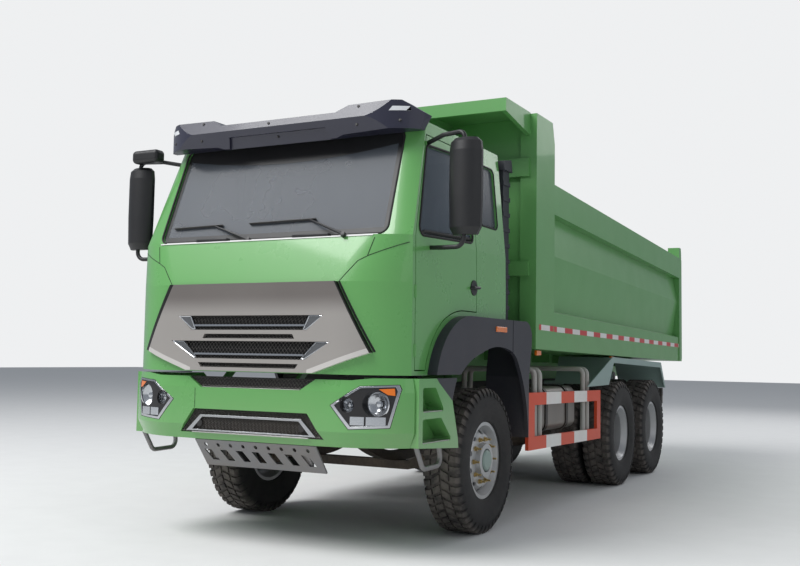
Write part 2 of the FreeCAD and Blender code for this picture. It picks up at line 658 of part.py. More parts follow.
def axles():
    """Front beam with its kingpin eyes, both rear housings, and the shafts between them."""
    z = AXLE_Z
    half = [(480.0, 450.0), (650.0, z - 75), (KINGPIN_X, z - 60), (KINGPIN_X, z + 60), (640.0, z + 20),
            (470.0, BEAM_TOP)]
    beam = slab_y(half + [(-x, height) for x, height in reversed(half)], -42, 42)
    eyes = both(rod(V(KINGPIN_X, 0, z - 68), V(KINGPIN_X, 0, z + 68), 50))
    holes = both(rod(V(KINGPIN_X, 0, z - 200), V(KINGPIN_X, 0, z + 200), KINGPIN_R + SPIN_FIT))
    solids = [joined([beam] + eyes).cut(holes)]
    end = (REAR_INNER_X + REAR_OUTER_X) / 2 + 100
    for y in (WHEELBASE, REAR_AXLE):
        casing = spun_x([(-end, 0), (-end, REAR_SPINDLE_R), (-560, REAR_SPINDLE_R), (-560, CASING_R),
                         (-200, CASING_R), ((0, 205), (200, CASING_R)), (560, CASING_R),
                         (560, REAR_SPINDLE_R), (end, REAR_SPINDLE_R), (end, 0)], y, z)
        nose = rod(V(0, y, z + 40), V(0, y - DIFF_NOSE, z + 40), 95)
        tail = rod(V(0, y, z + 40), V(0, y + 230, z + 40), 60)
        solids.append(joined([casing, nose, tail]))
    ends = [Part.Wire([Part.Circle(V(0, y, height), V(0, 1, 0), 40).toShape()])
            for y, height in ((ENGINE_REAR + SEAT_GAP, 745), (WHEELBASE - DIFF_NOSE - SEAT_GAP, z + 40))]
    solids.append(loft(ends))
    solids.append(rod(V(0, WHEELBASE + 230 + SEAT_GAP, z + 40),
                      V(0, REAR_AXLE - DIFF_NOSE - SEAT_GAP, z + 40), 45))
    return solids


def leaf_springs():
    """Two front packs over the beam and two rear packs bearing on both axles."""
    x0, x1 = RAIL_IN + 5, RAIL_OUT - 5
    top = RAIL_LOW - SEAT_GAP
    front = slab_x([(-860.0, 795.0), ((0.0, BEAM_TOP + SEAT_GAP), (860.0, 795.0)), (860.0, top),
                    ((0.0, BEAM_TOP + 80.0), (-860.0, top))], x0, x1)
    z = AXLE_Z + CASING_R + SEAT_GAP
    rear = slab_x([(WHEELBASE - 60, z), ((BOGIE_MIDDLE, z + 30), (REAR_AXLE + 60, z)),
                   (REAR_AXLE + 60, z + 40), ((BOGIE_MIDDLE, z + PACK_H), (WHEELBASE - 60, z + 40))], x0, x1)
    return both(front, rear)


CROSS_LOW = RAIL_LOW + RAIL_WALL + SEAT_GAP
CROSS_TOP = RAIL_TOP - 25.0
CROSS_HALF = RAIL_OUT - RAIL_WALL - SEAT_GAP
CROSS_DEEP = 45.0
REAR_CROSS = RAIL_REAR - CROSS_DEEP


def cross_member(y, deep=CROSS_DEEP):
    return box(-CROSS_HALF, CROSS_HALF, y - deep, y + deep, CROSS_LOW, CROSS_TOP)


def tilt_cross():
    """Foremost cross member with the two forks and pins about which the cab tips."""
    near, far = TILT_EAR
    return joined([cross_member(FRONT_CROSS, 30.0)] + both(
        rod(V(near, TILT_Y, TILT_Z), V(far, TILT_Y, TILT_Z), TILT_LUG_R),
        box(near, far, TILT_Y, FRONT_CROSS, TILT_Z - 50, TILT_Z),
        rod(V(near - 6, TILT_Y, TILT_Z), V(TILT_LUG[1] + 6, TILT_Y, TILT_Z), TILT_PIN_R)))


def hoist_carrier():
    """Beam under both rails with two lugs and the pin at the foot of the hoist."""
    y, z = HOIST_BASE.y, HOIST_BASE.z
    beam = box(-RAIL_OUT, RAIL_OUT, y - 60, y + 60, RAIL_LOW - 40, RAIL_LOW - SEAT_GAP)
    lug = slab_x([(y - 60, RAIL_LOW - 10), (y + 60, RAIL_LOW - 10), (y + 38, z + 42), (y - 38, z + 42)],
                 EYE_HALF + 4, EYE_HALF + 28)
    pin = rod(V(-EYE_HALF - 32, y, z), V(EYE_HALF + 32, y, z), HOIST_PIN_R)
    return joined([beam, pin] + both(lug))


def cab_stand():
    """Arch over the engine that carries the back of the cab."""
    post = box(RAIL_IN + 5, CROSS_HALF, 230, 310, RAIL_TOP + SEAT_GAP, ARCH_TOP)
    return joined([box(-CROSS_HALF, CROSS_HALF, 230, 310, 1615, ARCH_TOP)] + both(post))


def hinge_bracket():
    """Two plates at the end of a rail with the pin about which the load body tips."""
    def plate(front, x):
        return slab_x([(front, 1000.0), (HINGE_Y + 20, 1030.0), (HINGE_Y + 70, HINGE_Z - 10),
                       ((HINGE_Y, HINGE_Z + 70), (HINGE_Y - 70, HINGE_Z)), (front, 1080.0)], x, x + 24)
    return joined([plate(RAIL_REAR + SEAT_GAP, RAIL_IN - 28), plate(RAIL_REAR - 100, RAIL_OUT + 4),
                   box(RAIL_OUT + SEAT_GAP, RAIL_OUT + 5, RAIL_REAR - 100, RAIL_REAR, 1000, 1080),
                   rod(V(RAIL_IN - 32, HINGE_Y, HINGE_Z), V(RAIL_OUT + 32, HINGE_Y, HINGE_Z), HINGE_PIN_R)])


def chassis():
    """Two channel rails, the members across them, the cab's tilt forks and the tipping hinge."""
    side = [(RAIL_IN, RAIL_LOW), (RAIL_OUT, RAIL_LOW), (RAIL_OUT, RAIL_TOP), (RAIL_IN, RAIL_TOP),
            (RAIL_IN, RAIL_TOP - RAIL_WALL), (RAIL_OUT - RAIL_WALL, RAIL_TOP - RAIL_WALL),
            (RAIL_OUT - RAIL_WALL, RAIL_LOW + RAIL_WALL), (RAIL_IN, RAIL_LOW + RAIL_WALL)]
    rail = joined([slab_y(side, RAIL_FRONT, RAIL_REAR),
                   box(RAIL_IN, RAIL_OUT, NOSE + BUMPER_T, RAIL_FRONT, 992, 1090)])
    pad = box(RAIL_IN, RAIL_OUT, BOGIE_MIDDLE - 150, BOGIE_MIDDLE + 150,
              AXLE_Z + CASING_R + PACK_H + 2 * SEAT_GAP, RAIL_LOW - SEAT_GAP)
    mounts = [box(ENGINE_HALF + SEAT_GAP, RAIL_IN - SEAT_GAP, y, y + 100, RAIL_LOW, RAIL_LOW + 60)
              for y in (-500, 150)]
    tow_bore = rod(V(0, REAR_CROSS, 0), V(0, REAR_CROSS, FAR), TOW_BORE_R)
    across = [cross_member(y) for y in (1500.0, WHEELBASE - 1000, BOGIE_MIDDLE)]
    across += [cross_member(REAR_CROSS).cut(tow_bore), tilt_cross(), hoist_carrier(), cab_stand()]
    return both(rail, pad, hinge_bracket(), *mounts) + across


GUARD_TOP = (1070.0, 1046.0)
GUARD_LOW = (587.0, 558.0)
GUARD_Y = (684.0, WHEELBASE - 844.0)
GUARD_OUT = 1240.0
GUARD_T = 30.0
GUARD_TUBE_R = 24.0


def side_guard():
    """Flat frame of four bars along the side, on four bent tubes from the frame rail."""
    front, rear = GUARD_Y
    inner = [(front + 150, GUARD_LOW[0] + 108), (front + 150, GUARD_TOP[0] - 108),
             (rear - 120, GUARD_TOP[1] - 104), (rear - 120, GUARD_LOW[1] + 106)]
    low = [(front, GUARD_LOW[0]), inner[0], inner[3], (rear, GUARD_LOW[1])]
    top = [(front, GUARD_TOP[0]), inner[1], inner[2], (rear, GUARD_TOP[1])]
    gap = SEAT_GAP
    bars = [[low[0], (front, low[1][1]), low[1], low[2], (rear, low[2][1]), low[3]],
            [top[0], (front, top[1][1]), top[1], top[2], (rear, top[2][1]), top[3]],
            [(front, low[1][1] + gap), (front, top[1][1] - gap), (front + 150, top[1][1] - gap),
             (front + 150, low[1][1] + gap)],
            [(rear - 120, low[2][1] + gap), (rear - 120, top[2][1] - gap), (rear, top[2][1] - gap),
             (rear, low[2][1] + gap)]]
    solids = [slab_x(outline, GUARD_OUT - GUARD_T, GUARD_OUT) for outline in bars]
    x = GUARD_OUT - GUARD_T - GUARD_TUBE_R - gap
    for y in (front + 276, rear - 426):
        for step in (0.0, 130.0):
            bends = [(x, 600.0), (x, 1262.0), (522.0, 1262.0), (522.0, 1050.0), (RAIL_OUT + gap, 1050.0)]
            solids.append(pipe([V(across, y + step, up) for across, up in bends], GUARD_TUBE_R, 56.0))
    return solids


def tanks():
    """Fuel tank with straps on the left; battery box and two air tanks on the right."""
    tank_rear = WHEELBASE - 1420
    air_rear = WHEELBASE - 1020
    tank = box(560, 1150, 1095, tank_rear, 700, 1100)
    long_edges = [e for e in tank.Edges if abs(e.tangentAt(e.FirstParameter).y) > 0.99]
    tank = tank.makeFillet(80, long_edges)
    cap = rod(V(1150 - 75, 1250, 1090), V(1150 - 75, 1250, 1135), 45)
    tank = joined([tank, cap])
    straps = []
    for y in (1330.0, tank_rear - 280):
        band = box(550, 1160, y, y + 60, 690, 1110)
        edges = [e for e in band.Edges if abs(e.tangentAt(e.FirstParameter).y) > 0.99]
        band = band.makeFillet(88, edges)
        arm = box(RAIL_OUT, 640, y + 5, y + 55, 840, 1000)
        straps.append(joined([band, arm]).cut(tank))
    battery = box(-1150, -620, 1040, 1700, 700, 1050).cut(box(-1130, -640, 1060, 1680, 1040, 1060))
    shelf = box(-700, -RAIL_OUT, 1200, 1500, 840, 960).cut(battery)
    air = []
    for z in (800.0, 1010.0):
        x = -900 + 0.5 * (z - 800)
        air.append(rod(V(x, 1780, z), V(x, air_rear, z), 96))
    hanger = [box(-900, -RAIL_OUT, y, y + 50, 870, 950) for y in (1900.0, air_rear - 180)]
    air_set = joined(air + hanger)
    return [tank] + straps + [joined([battery, shelf]), air_set]


def rear_lamps():
    """Cross bar behind the frame with two lamp blocks and the plate holder between them."""
    y = RAIL_REAR + 2.0
    bar = box(-1120, 1120, y, y + 60, 800, 900)
    arms = both(box(RAIL_IN + 20, RAIL_OUT - 20, RAIL_REAR - 80, y + 10, 830, 900))
    lamps = both(box(760, 1120, y + 10, y + 75, 900, 1000))
    body = joined([bar] + arms + lamps)
    return body.cut(chassis_solids)


def air_intake():
    """Ribbed column behind the cab with its cap and the hose to the engine."""
    x0, x1, y0, y1 = 975.0, 1110.0, 395.0, 530.0
    top = ROOF - 7.0
    column = box(x0, x1, y0, y1, ARCH_TOP, top - 70)
    ribs = [box(x0 - 8, x1 + 8, y0 - 8, y1 + 8, z, z + 35) for z in range(1760, round(top) - 130, 130)]
    cap = slab_x([(y0 - 25, top - 105), (y0 - 25, top - 30), (y1, top), (y1 + 25, top - 105)],
                 x0 - 20, x1 + 20)
    hose = pipe([V(x0 + 10, 405, 1880), V(240, 405, 1880), V(240, 405, 1600)], 50.0, 110.0)
    return joined([column, cap, hose] + ribs)


def seats():
    top = ROOF - 237.0
    solids = []
    for x in (-520.0, 520.0):
        base = box(x - 190, x + 190, -640, -240, ARCH_TOP + 55, 1960)
        cushion = rounded(box(x - 245, x + 245, -720, -160, 1960, 2090), 35)
        back = slab_x([(-250.0, 2085.0), (-130.0, top - 160), (-30.0, top - 160), (-110.0, 2085.0)],
                      x - 225, x + 225)
        head = box(x - 120, x + 120, -125, -40, top - 155, top)
        post = box(x - 40, x + 40, -100, -60, top - 170, top - 140)
        solids.append(joined([base, cushion, back, head, post]))
    return solids


def dashboard():
    body = slab_x([(-1700.0, 1700.0), (-1700.0, 2135.0), (-1330.0, 2135.0), (-1120.0, 2165.0),
                   (-1020.0, 2080.0), (-1060.0, 1880.0), (-1200.0, 1760.0)], 65 - CAB_HALF, CAB_HALF - 65)
    body = body.common(cab_block(PANEL))
    ring = Part.makeTorus(225, 17, V(0, 0, 0), V(0, 0, 1))
    ring = joined([ring, box(-225, 225, -18, 18, -9, 9), rod(V(0, 0, -300), V(0, 0, 15), 38)])
    ring.rotate(V(0, 0, 0), V(1, 0, 0), -35)
    ring.translate(V(520, -900, COWL + 80))
    return [joined([body, ring])]


VISOR_SIDE = [(-1332.0, ROOF - 2), (-1262.0, ROOF - 132), (-1085.0, ROOF - 87), (-1030.0, ROOF + 23),
              (-1090.0, ROOF + 128), (-1262.0, ROOF + 128)]
VISOR_HALF_FRONT = [(505.0, ROOF + 53), (600.0, ROOF + 103), (1010.0, ROOF + 109), (1145.0, ROOF + 23),
                    (1112.0, ROOF - 89), (560.0, ROOF - 107), (500.0, ROOF - 125)]
VISOR_PLAN = [(-1145.0, -1030.0), (-1130.0, -1120.0), ((-960.0, -1265.0), (-600.0, -1333.0)),
              (600.0, -1333.0), ((960.0, -1265.0), (1130.0, -1120.0)), (1145.0, -1030.0)]
VISOR_LIP = [(-455.0, ROOF - 137), (-425.0, ROOF - 47), (425.0, ROOF - 47), (455.0, ROOF - 137)]
LIP_DEPTH = 22.0


def visor():
    """Folded peak over the windscreen: raised wings, a level middle and a recessed lip under it."""
    front = VISOR_HALF_FRONT + [(-x, z) for x, z in reversed(VISOR_HALF_FRONT)]
    peak = slab_x(VISOR_SIDE, -FAR, FAR)
    peak = peak.common(slab_y(front, -FAR, 0)).common(slab_z(VISOR_PLAN, ROOF - 200, ROOF + 200))
    behind = peak.copy()
    behind.translate(V(0, LIP_DEPTH, 0))
    recess = slab_y(VISOR_LIP, -FAR, -1150).cut(behind)
    return peak.cut([recess, cab_block()])


def wipers():
    """Two arms that stand on the cowl and lean against the glass."""
    solids = []
    for x in (150.0, -560.0):
        foot = V(x + 30, -1427, COWL)
        solids.append(pipe([foot, foot + V(0, 0, 40), V(x - 330, -1393, COWL + 90)], 9, 12))
    return solids


MIRROR_X = (1332.0, 1572.0)
MIRROR_BACK = -1098.0
MIRROR_TOP = ROOF - 177.0
MIRROR_LEVELS = ((670.0, 34.0), (620.0, 6.0), (400.0, 0.0), (90.0, 0.0), (28.0, 8.0), (0.0, 40.0))
MIRROR_GLASSES = ((604.0, 410.0), (394.0, 74.0))
MIRROR_ARM_R = 16.0


def mirror_ring(z, inset):
    """Level section of the mirror housing: flat back and a bulged front."""
    left, right = MIRROR_X[0] + inset, MIRROR_X[1] - inset
    front = MIRROR_BACK - 30
    nose = ((left + right) / 2, MIRROR_BACK - 100 + inset)
    items = [(left, MIRROR_BACK), (left, front), (nose, (right, front)), (right, MIRROR_BACK)]
    return wire(lambda x, y: V(x, y, z), items)


def mirror_set(with_pod):
    """Tall mirror housing on its two curved arms, carried by the door, and the wide mirror over it."""
    z = MIRROR_TOP
    housing = loft([mirror_ring(z - drop, inset) for drop, inset in MIRROR_LEVELS])
    left, right = MIRROR_X[0] + 16, MIRROR_X[1] - 16
    housing = housing.cut([box(left, right, MIRROR_BACK - 5, MIRROR_BACK + 1, z - low, z - high)
                           for low, high in MIRROR_GLASSES])
    upper = pipe([V(1080, -985, z + 15), V(1260, -1080, z + 45), V(1450, -1140, z + 45),
                  V(1450, -1140, z - 100)], MIRROR_ARM_R, 50)
    lower = pipe([V(1150, -1060, COWL - 60), V(1290, -1120, COWL - 70), V(1450, -1140, COWL - 70),
                  V(1450, -1140, z - 560)], MIRROR_ARM_R, 60)
    parts = [housing, upper, lower]
    if with_pod:
        parts.append(rounded(box(1215, 1480, -1225, -1110, z + 25, z + 130), 34))
    return joined(parts).cut(cab_block())


def bed_low(y):
    share = (y - BED_FRONT) / (BED_REAR - BED_FRONT)
    return BED_LOW_FRONT + share * (BED_LOW_REAR - BED_LOW_FRONT)


RAIL_Z = (2935.0, 2746.0)
CREASE_Z = (2290.0, 2149.0)
LEDGE_Z = (1800.0, 1700.0)
SIDE_ENDS = (POST_REAR + SEAT_GAP, BED_REAR - REAR_POST - SEAT_GAP)
WALL_REAR = BED_FRONT + 50.0
INSIDE = BED_IN - SEAT_GAP


def side_section(end):
    """Section of the side wall at its front or rear end: sill, ledge, crease and top rail."""
    y = SIDE_ENDS[end]
    top, crease, ledge, low = RAIL_Z[end], CREASE_Z[end], LEDGE_Z[end], bed_low(y)
    under = top - RAIL_H
    items = [(BED_IN, low), (BED_OUT - 12, low), (BED_OUT - 12, ledge - 28), (1160.0, ledge),
             (1222.0, crease), (1168.0, under), (BED_OUT, under), (BED_OUT, top), (BED_IN, top)]
    return wire(lambda x, z: V(x, y, z), items)


def house_wedge(skin, low):
    """Leaning space in the front wall that the hoist swings into, grown by the skin that closes it."""
    top = HOUSE_TOP + skin / HOUSE_LEAN
    half = HOUSE_HALF + skin
    outline = [(BED_FRONT - 60, low), (BED_FRONT + HOUSE_LEAN * (top - low), low), (BED_FRONT, top),
               (BED_FRONT - 60, top)]
    return slab_x(outline, -half, half)


def bed_floor():
    """Floor plate with its bearers, open in front where the hoist swings."""
    def under(y):
        return bed_low(y) - 90, bed_low(y) + 10
    rise = bed_low(BED_REAR) + FLOOR_T
    start = WALL_REAR + SEAT_GAP
    plate = slab_x([(start, bed_low(start)), (BED_REAR, bed_low(BED_REAR)), (BED_REAR, rise),
                    (start, bed_low(start) + FLOOR_T)], -INSIDE, INSIDE)
    bearers = []
    pitch = (BED_REAR - BED_FRONT - 380) / (BEARERS - 1)
    for k in range(BEARERS):
        y = BED_FRONT + 120 + k * pitch
        bearers += [box(-SILL_IN + SEAT_GAP, SILL_IN - SEAT_GAP, y, y + 70, *under(y))]
        bearers += both(box(SILL_OUT + SEAT_GAP, 620, y, y + 70, *under(y)))
    return joined([plate] + bearers).cut(house_wedge(HOUSE_SKIN + SEAT_GAP, 1250.0))


def bed_sill():
    """Long member under the floor, over the frame rail, with the hinge lug at its end."""
    front, rear = WALL_REAR, BED_REAR - 20
    sill = slab_x([(front, SILL_LOW), (BED_REAR - 100, SILL_LOW), (rear, bed_low(rear) - SEAT_GAP),
                   (front, bed_low(front) - SEAT_GAP)], SILL_IN, SILL_OUT)
    lug = rod(V(SILL_IN, HINGE_Y, HINGE_Z), V(SILL_OUT, HINGE_Y, HINGE_Z), 70)
    bore = rod(V(0, HINGE_Y, HINGE_Z), V(FAR, HINGE_Y, HINGE_Z), HINGE_PIN_R + SPIN_FIT)
    return joined([sill, lug]).cut(bore)


def bed_posts():
    """Tall front post and short rear post of one side; the rear one holds the gate's pin."""
    front = slab_x([(POST_FRONT, bed_low(POST_FRONT)), (POST_REAR, bed_low(POST_REAR)),
                    (POST_REAR, POST_TOP - 190), (POST_REAR - 60, POST_TOP), (POST_FRONT, POST_TOP)],
                   BED_IN, BED_OUT)
    inner = BED_REAR - REAR_POST
    rear = slab_x([(inner, bed_low(inner)), (BED_REAR, bed_low(BED_REAR)), (BED_REAR, 2800.0),
                   (BED_REAR - 20, 2888.0), (inner, 2888.0)], BED_IN, BED_OUT)
    ear = slab_x([(BED_REAR - 90, GATE_PIN_Z - 60), (GATE_PIN_Y, GATE_PIN_Z - 40),
                  ((GATE_PIN_Y + 40, GATE_PIN_Z), (GATE_PIN_Y, GATE_PIN_Z + 40)),
                  (BED_REAR - 90, GATE_PIN_Z + 48)], BED_IN + 30, BED_IN + 60)
    pin = rod(V(BED_IN + 30, GATE_PIN_Y, GATE_PIN_Z), V(BED_IN + 125, GATE_PIN_Y, GATE_PIN_Z), GATE_PIN_R)
    return [front, joined([rear, ear, pin])]


def bed_front():
    """Ribbed front wall, the canopy over the cab, the hoist's recess and the ears that the hoist lifts."""
    post_room = both(box(INSIDE, FAR, POST_FRONT - SEAT_GAP, BED_REAR, 0, 2 * FAR))
    wall = box(-INSIDE, INSIDE, BED_FRONT, WALL_REAR, bed_low(BED_FRONT), CANOPY_TOP - CANOPY_T - SEAT_GAP)
    beams = [box(-CANOPY_HALF + 5, CANOPY_HALF - 5, BED_FRONT - 55, BED_FRONT, low, top)
             for low, top in ((1500.0, 1620.0), (2071.0, 2196.0), (CANOPY_TOP - 561, CANOPY_TOP - 403))]
    uprights = both(box(420, 500, BED_FRONT - 40, BED_FRONT, 1620, CANOPY_TOP - 561))
    wall = joined([wall] + beams + uprights).cut(post_room + [house_wedge(0.0, 1250.0)])
    low, high = bed_low(BED_FRONT), HOUSE_TOP + 200.0
    house = house_wedge(HOUSE_SKIN, low).cut(house_wedge(0.0, low))
    house = house.common(box(-FAR, FAR, WALL_REAR + SEAT_GAP, FAR, low, high))
    roof = slab_x([(CANOPY_FRONT, CANOPY_LIP), (CANOPY_FRONT, CANOPY_TOP), (WALL_REAR, CANOPY_TOP),
                   (WALL_REAR, CANOPY_TOP - CANOPY_T), (CANOPY_FRONT + 30, CANOPY_TOP - CANOPY_T),
                   (CANOPY_FRONT + 30, CANOPY_LIP)], -CANOPY_HALF, CANOPY_HALF)
    cheek = [(CANOPY_FRONT, CANOPY_LIP), (CANOPY_FRONT, CANOPY_TOP), (BED_FRONT - SEAT_GAP, CANOPY_TOP),
             (BED_FRONT - SEAT_GAP, CHEEK_LOW)]
    cheeks = both(*[slab_x(cheek, x, x + 40) for x in (380.0, CANOPY_HALF - 40)])
    canopy = joined([roof] + cheeks).cut(post_room)
    foot = BED_FRONT - SEAT_GAP
    ear = slab_x([(foot, HOIST_EYE.z - 110), (foot, HOIST_EYE.z + 110), (HOIST_EYE.y - 60, HOIST_EYE.z + 50),
                  (HOIST_EYE.y - 60, HOIST_EYE.z - 50)], ROD_EYE_HALF + 6, ROD_EYE_HALF + 30)
    return [wall, house, canopy] + both(ear)


def bed():
    """Open steel body in its welded sections: floor, sills, sides, posts and front."""
    side = loft([side_section(0), side_section(1)])
    return [bed_floor()] + both(bed_sill(), side, *bed_posts()) + bed_front()


def tailgate():
    """Ribbed gate behind the rear posts, hung from pins at its top corners."""
    low = bed_low(BED_REAR) + 30
    half = BED_OUT - 25
    y0, y1 = TAILGATE_Y, TAILGATE_Y + TAILGATE_T
    y2 = y1 + TAILGATE_RIB
    sheet = box(-half, half, y0, y1, low, 2740)
    bars = [box(-half, half, y1, y2, z, z + 90) for z in (low, low + 640, 2650)]
    posts = [box(x, x + 80, y1, y2, low, 2740) for x in (-half, -440.0, 360.0, half - 80)]
    arm = slab_x([(y0 + 2, 2700.0), (y1, 2700.0), (y2 - 10, 2740.0), (GATE_PIN_Y + 42, GATE_PIN_Z),
                  ((GATE_PIN_Y, GATE_PIN_Z + 42), (GATE_PIN_Y - 40, GATE_PIN_Z))], BED_IN + 66, BED_IN + 100)
    gate = joined([sheet] + bars + posts + both(arm))
    bore = rod(V(-FAR, GATE_PIN_Y, GATE_PIN_Z), V(FAR, GATE_PIN_Y, GATE_PIN_Z), GATE_PIN_R + SPIN_FIT)
    return gate.cut(bore)


def hoist_solids():
    """Barrel and telescopic stages on one leaning line, each guided by a ring and a collar."""
    line = HOIST_EYE - HOIST_BASE
    length = line.Length
    line = line.normalize()

    def at(s):
        return HOIST_BASE + line * s
    top = length - 130.0
    wall = 10.0
    collar = 40.0
    first = HOIST_R - wall
    barrel = joined([rod(at(60), at(100), HOIST_R),
                     tube(at(100), at(top), HOIST_R, first),
                     tube(at(top - collar), at(top), HOIST_R + 6, first - 4 + SPIN_FIT),
                     rod(HOIST_BASE - V(EYE_HALF, 0, 0), HOIST_BASE + V(EYE_HALF, 0, 0), EYE_R),
                     box(-EYE_HALF, EYE_HALF, HOIST_BASE.y - 40, HOIST_BASE.y + 40,
                         HOIST_BASE.z, HOIST_BASE.z + 62)])
    barrel = barrel.cut(rod(HOIST_BASE - V(FAR, 0, 0), HOIST_BASE + V(FAR, 0, 0), HOIST_PIN_R + SPIN_FIT))
    stages = [barrel]
    for k in range(STAGES):
        outer = first - 4 - STAGE_STEP * k
        bore = outer - STAGE_WALL
        low, high = 110.0 + 8 * k, top + 16 + 18 * k
        pieces = [tube(at(low), at(high), outer, bore),
                  tube(at(low), at(low + 30), outer + 4 - SPIN_FIT, bore)]
        if k < STAGES - 1:
            pieces.append(tube(at(high - collar), at(high), outer, bore - 4 + SPIN_FIT))
        else:
            pieces.append(rod(at(high - 20), at(high), outer))
            pieces.append(rod(at(high), at(length - 30), 34))
            reach = V(ROD_EYE_HALF + 6 - SEAT_GAP, 0, 0)
            pieces.append(rod(HOIST_EYE - V(EYE_HALF, 0, 0), HOIST_EYE + V(EYE_HALF, 0, 0), EYE_R))
            pieces.append(rod(HOIST_EYE - reach, HOIST_EYE + reach, HOIST_PIN_R))
        stages.append(joined(pieces))
    return stages


chassis_solids = chassis()
cab_shell, door, door_pane, cab_panes = cab_pieces()
panel, mesh = grille()
bumper_skin, bumper_mesh, lamp_unit = bumper()

save("chassis_frame", chassis_solids)
save("engine_block", [box(-ENGINE_HALF, ENGINE_HALF, -700, ENGINE_REAR, 700, 1600)])
save("axles", axles())
save("leaf_springs", leaf_springs())
save("tanks", tanks())
save("side_guards", both(*side_guard()))
save("bumper", [bumper_skin])
save("bumper_mesh", bumper_mesh)
save("headlamps", both(lamp_unit))
save("step_boxes", both(step_box()))
save("loop_steps", both(loop_step()))
save("skid_plate", [skid_plate()])
save("mudguards", mudguards())
save("rear_fenders", both(rear_fender()))
save("rear_lamps", [rear_lamps()])
save("air_intake", [air_intake()])

save("cab_shell", [cab_shell])
save("cab_glass", cab_panes)
save("grille_panel", [panel])
save("grille_mesh", mesh)
save("visor", [visor()])
save("arch_flares", both(arch_flare()))
save("wipers", wipers())
save("seats", seats())
save("dashboard", dashboard())
save("beacon", [joined([rod(V(0, -300, ROOF), V(0, -300, ROOF + 20), 70),
                        rod(V(0, -300, ROOF + 20), V(0, -300, ROOF + 120), 58)])])

for name, hand in (("left", lambda shape: shape), ("right", mirrored)):
    save("door_" + name, [hand(door)])
    save("door_glass_" + name, [hand(door_pane)])
    save("mirror_" + name, [hand(mirror_set(name == "right"))])
    save("knuckle_" + name, [hand(knuckle())])
    save("front_tyre_" + name, [hand(tyre(FRONT_WHEEL_X, 0))])
    save("front_rim_" + name, [hand(front_rim(FRONT_WHEEL_X, 0))])
    for count, axle_y in ((1, WHEELBASE), (2, REAR_AXLE)):
        pair = [tyre(REAR_INNER_X, axle_y), tyre(REAR_OUTER_X, axle_y)]
        save("rear_tyres_" + name + "_" + str(count), [hand(shape) for shape in pair])
        save("rear_rims_" + name + "_" + str(count), [hand(rear_rims(axle_y))])

save("bed_body", bed())
save("tailgate", [tailgate()])
for node, shape in zip(["hoist_barrel", "hoist_stage_1", "hoist_stage_2", "hoist_stage_3"], hoist_solids()):
    save(node, [shape])
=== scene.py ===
"""Dump truck dressed for its photograph: finishes, tread, lamps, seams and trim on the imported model."""
import logging
import math
from dataclasses import dataclass
from enum import Enum
from typing import Iterable, Optional, Sequence, Union

import bmesh
import bpy
import numpy as np
from mathutils import Matrix, Vector
from mathutils.bvhtree import BVHTree


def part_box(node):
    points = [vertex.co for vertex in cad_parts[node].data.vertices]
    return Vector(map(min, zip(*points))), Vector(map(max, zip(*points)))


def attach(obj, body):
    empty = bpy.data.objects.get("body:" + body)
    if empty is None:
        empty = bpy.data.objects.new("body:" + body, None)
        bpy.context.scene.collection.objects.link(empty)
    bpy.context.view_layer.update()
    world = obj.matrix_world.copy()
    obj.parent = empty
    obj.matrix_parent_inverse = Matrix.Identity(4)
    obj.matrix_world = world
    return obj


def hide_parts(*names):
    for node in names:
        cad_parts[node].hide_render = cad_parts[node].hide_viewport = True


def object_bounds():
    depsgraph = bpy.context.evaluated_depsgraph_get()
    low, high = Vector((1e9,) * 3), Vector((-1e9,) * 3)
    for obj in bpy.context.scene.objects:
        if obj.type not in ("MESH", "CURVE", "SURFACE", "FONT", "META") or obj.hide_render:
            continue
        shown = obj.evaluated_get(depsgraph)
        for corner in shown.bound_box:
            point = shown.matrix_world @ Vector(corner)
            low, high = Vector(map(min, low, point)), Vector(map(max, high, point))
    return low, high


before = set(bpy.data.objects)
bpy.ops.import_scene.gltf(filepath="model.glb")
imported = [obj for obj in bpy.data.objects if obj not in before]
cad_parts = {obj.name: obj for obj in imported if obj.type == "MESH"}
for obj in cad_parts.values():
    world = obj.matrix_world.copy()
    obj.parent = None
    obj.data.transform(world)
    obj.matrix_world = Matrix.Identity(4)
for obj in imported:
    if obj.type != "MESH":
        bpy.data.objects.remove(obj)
CAD_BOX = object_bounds()
LOG = logging.getLogger("dump_truck")

Number = Union[float, "Signal"]
Colour = tuple[float, float, float]
Pair = tuple[float, float]
Outline = tuple[Pair, ...]
Triple = Sequence[float]


def linear(red: int, green: int, blue: int) -> Colour:
    """Screen colour from 0 to 255 as the linear values that a shader takes."""
    return tuple(((c / 255 + 0.055) / 1.055) ** 2.4 if c > 10 else c / 255 / 12.92
                 for c in (red, green, blue))


def middle(node: str) -> np.ndarray:
    """Centre of a CAD node at rest."""
    low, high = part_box(node)
    return (np.array(low) + np.array(high)) / 2


AXLE = middle("front_tyre_left")
Y0 = float(AXLE[1])
AXLE_Z = float(AXLE[2])
REAR_AXLES = tuple(float(middle(f"rear_tyres_left_{k}")[1]) for k in (1, 2))
TYRE_R = (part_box("front_tyre_left")[1][2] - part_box("front_tyre_left")[0][2]) / 2
# Planes outside the truck, from which trim is cast on its front and its sides.
FRONT_Y = CAD_BOX[0][1] - 1.0
BESIDE_X = 3.0


class Side(Enum):
    """Side of the truck, with its sign along x."""

    LEFT = 1
    RIGHT = -1

    @property
    def word(self) -> str:
        """Name as it stands in node and body names."""
        return self.name.lower()


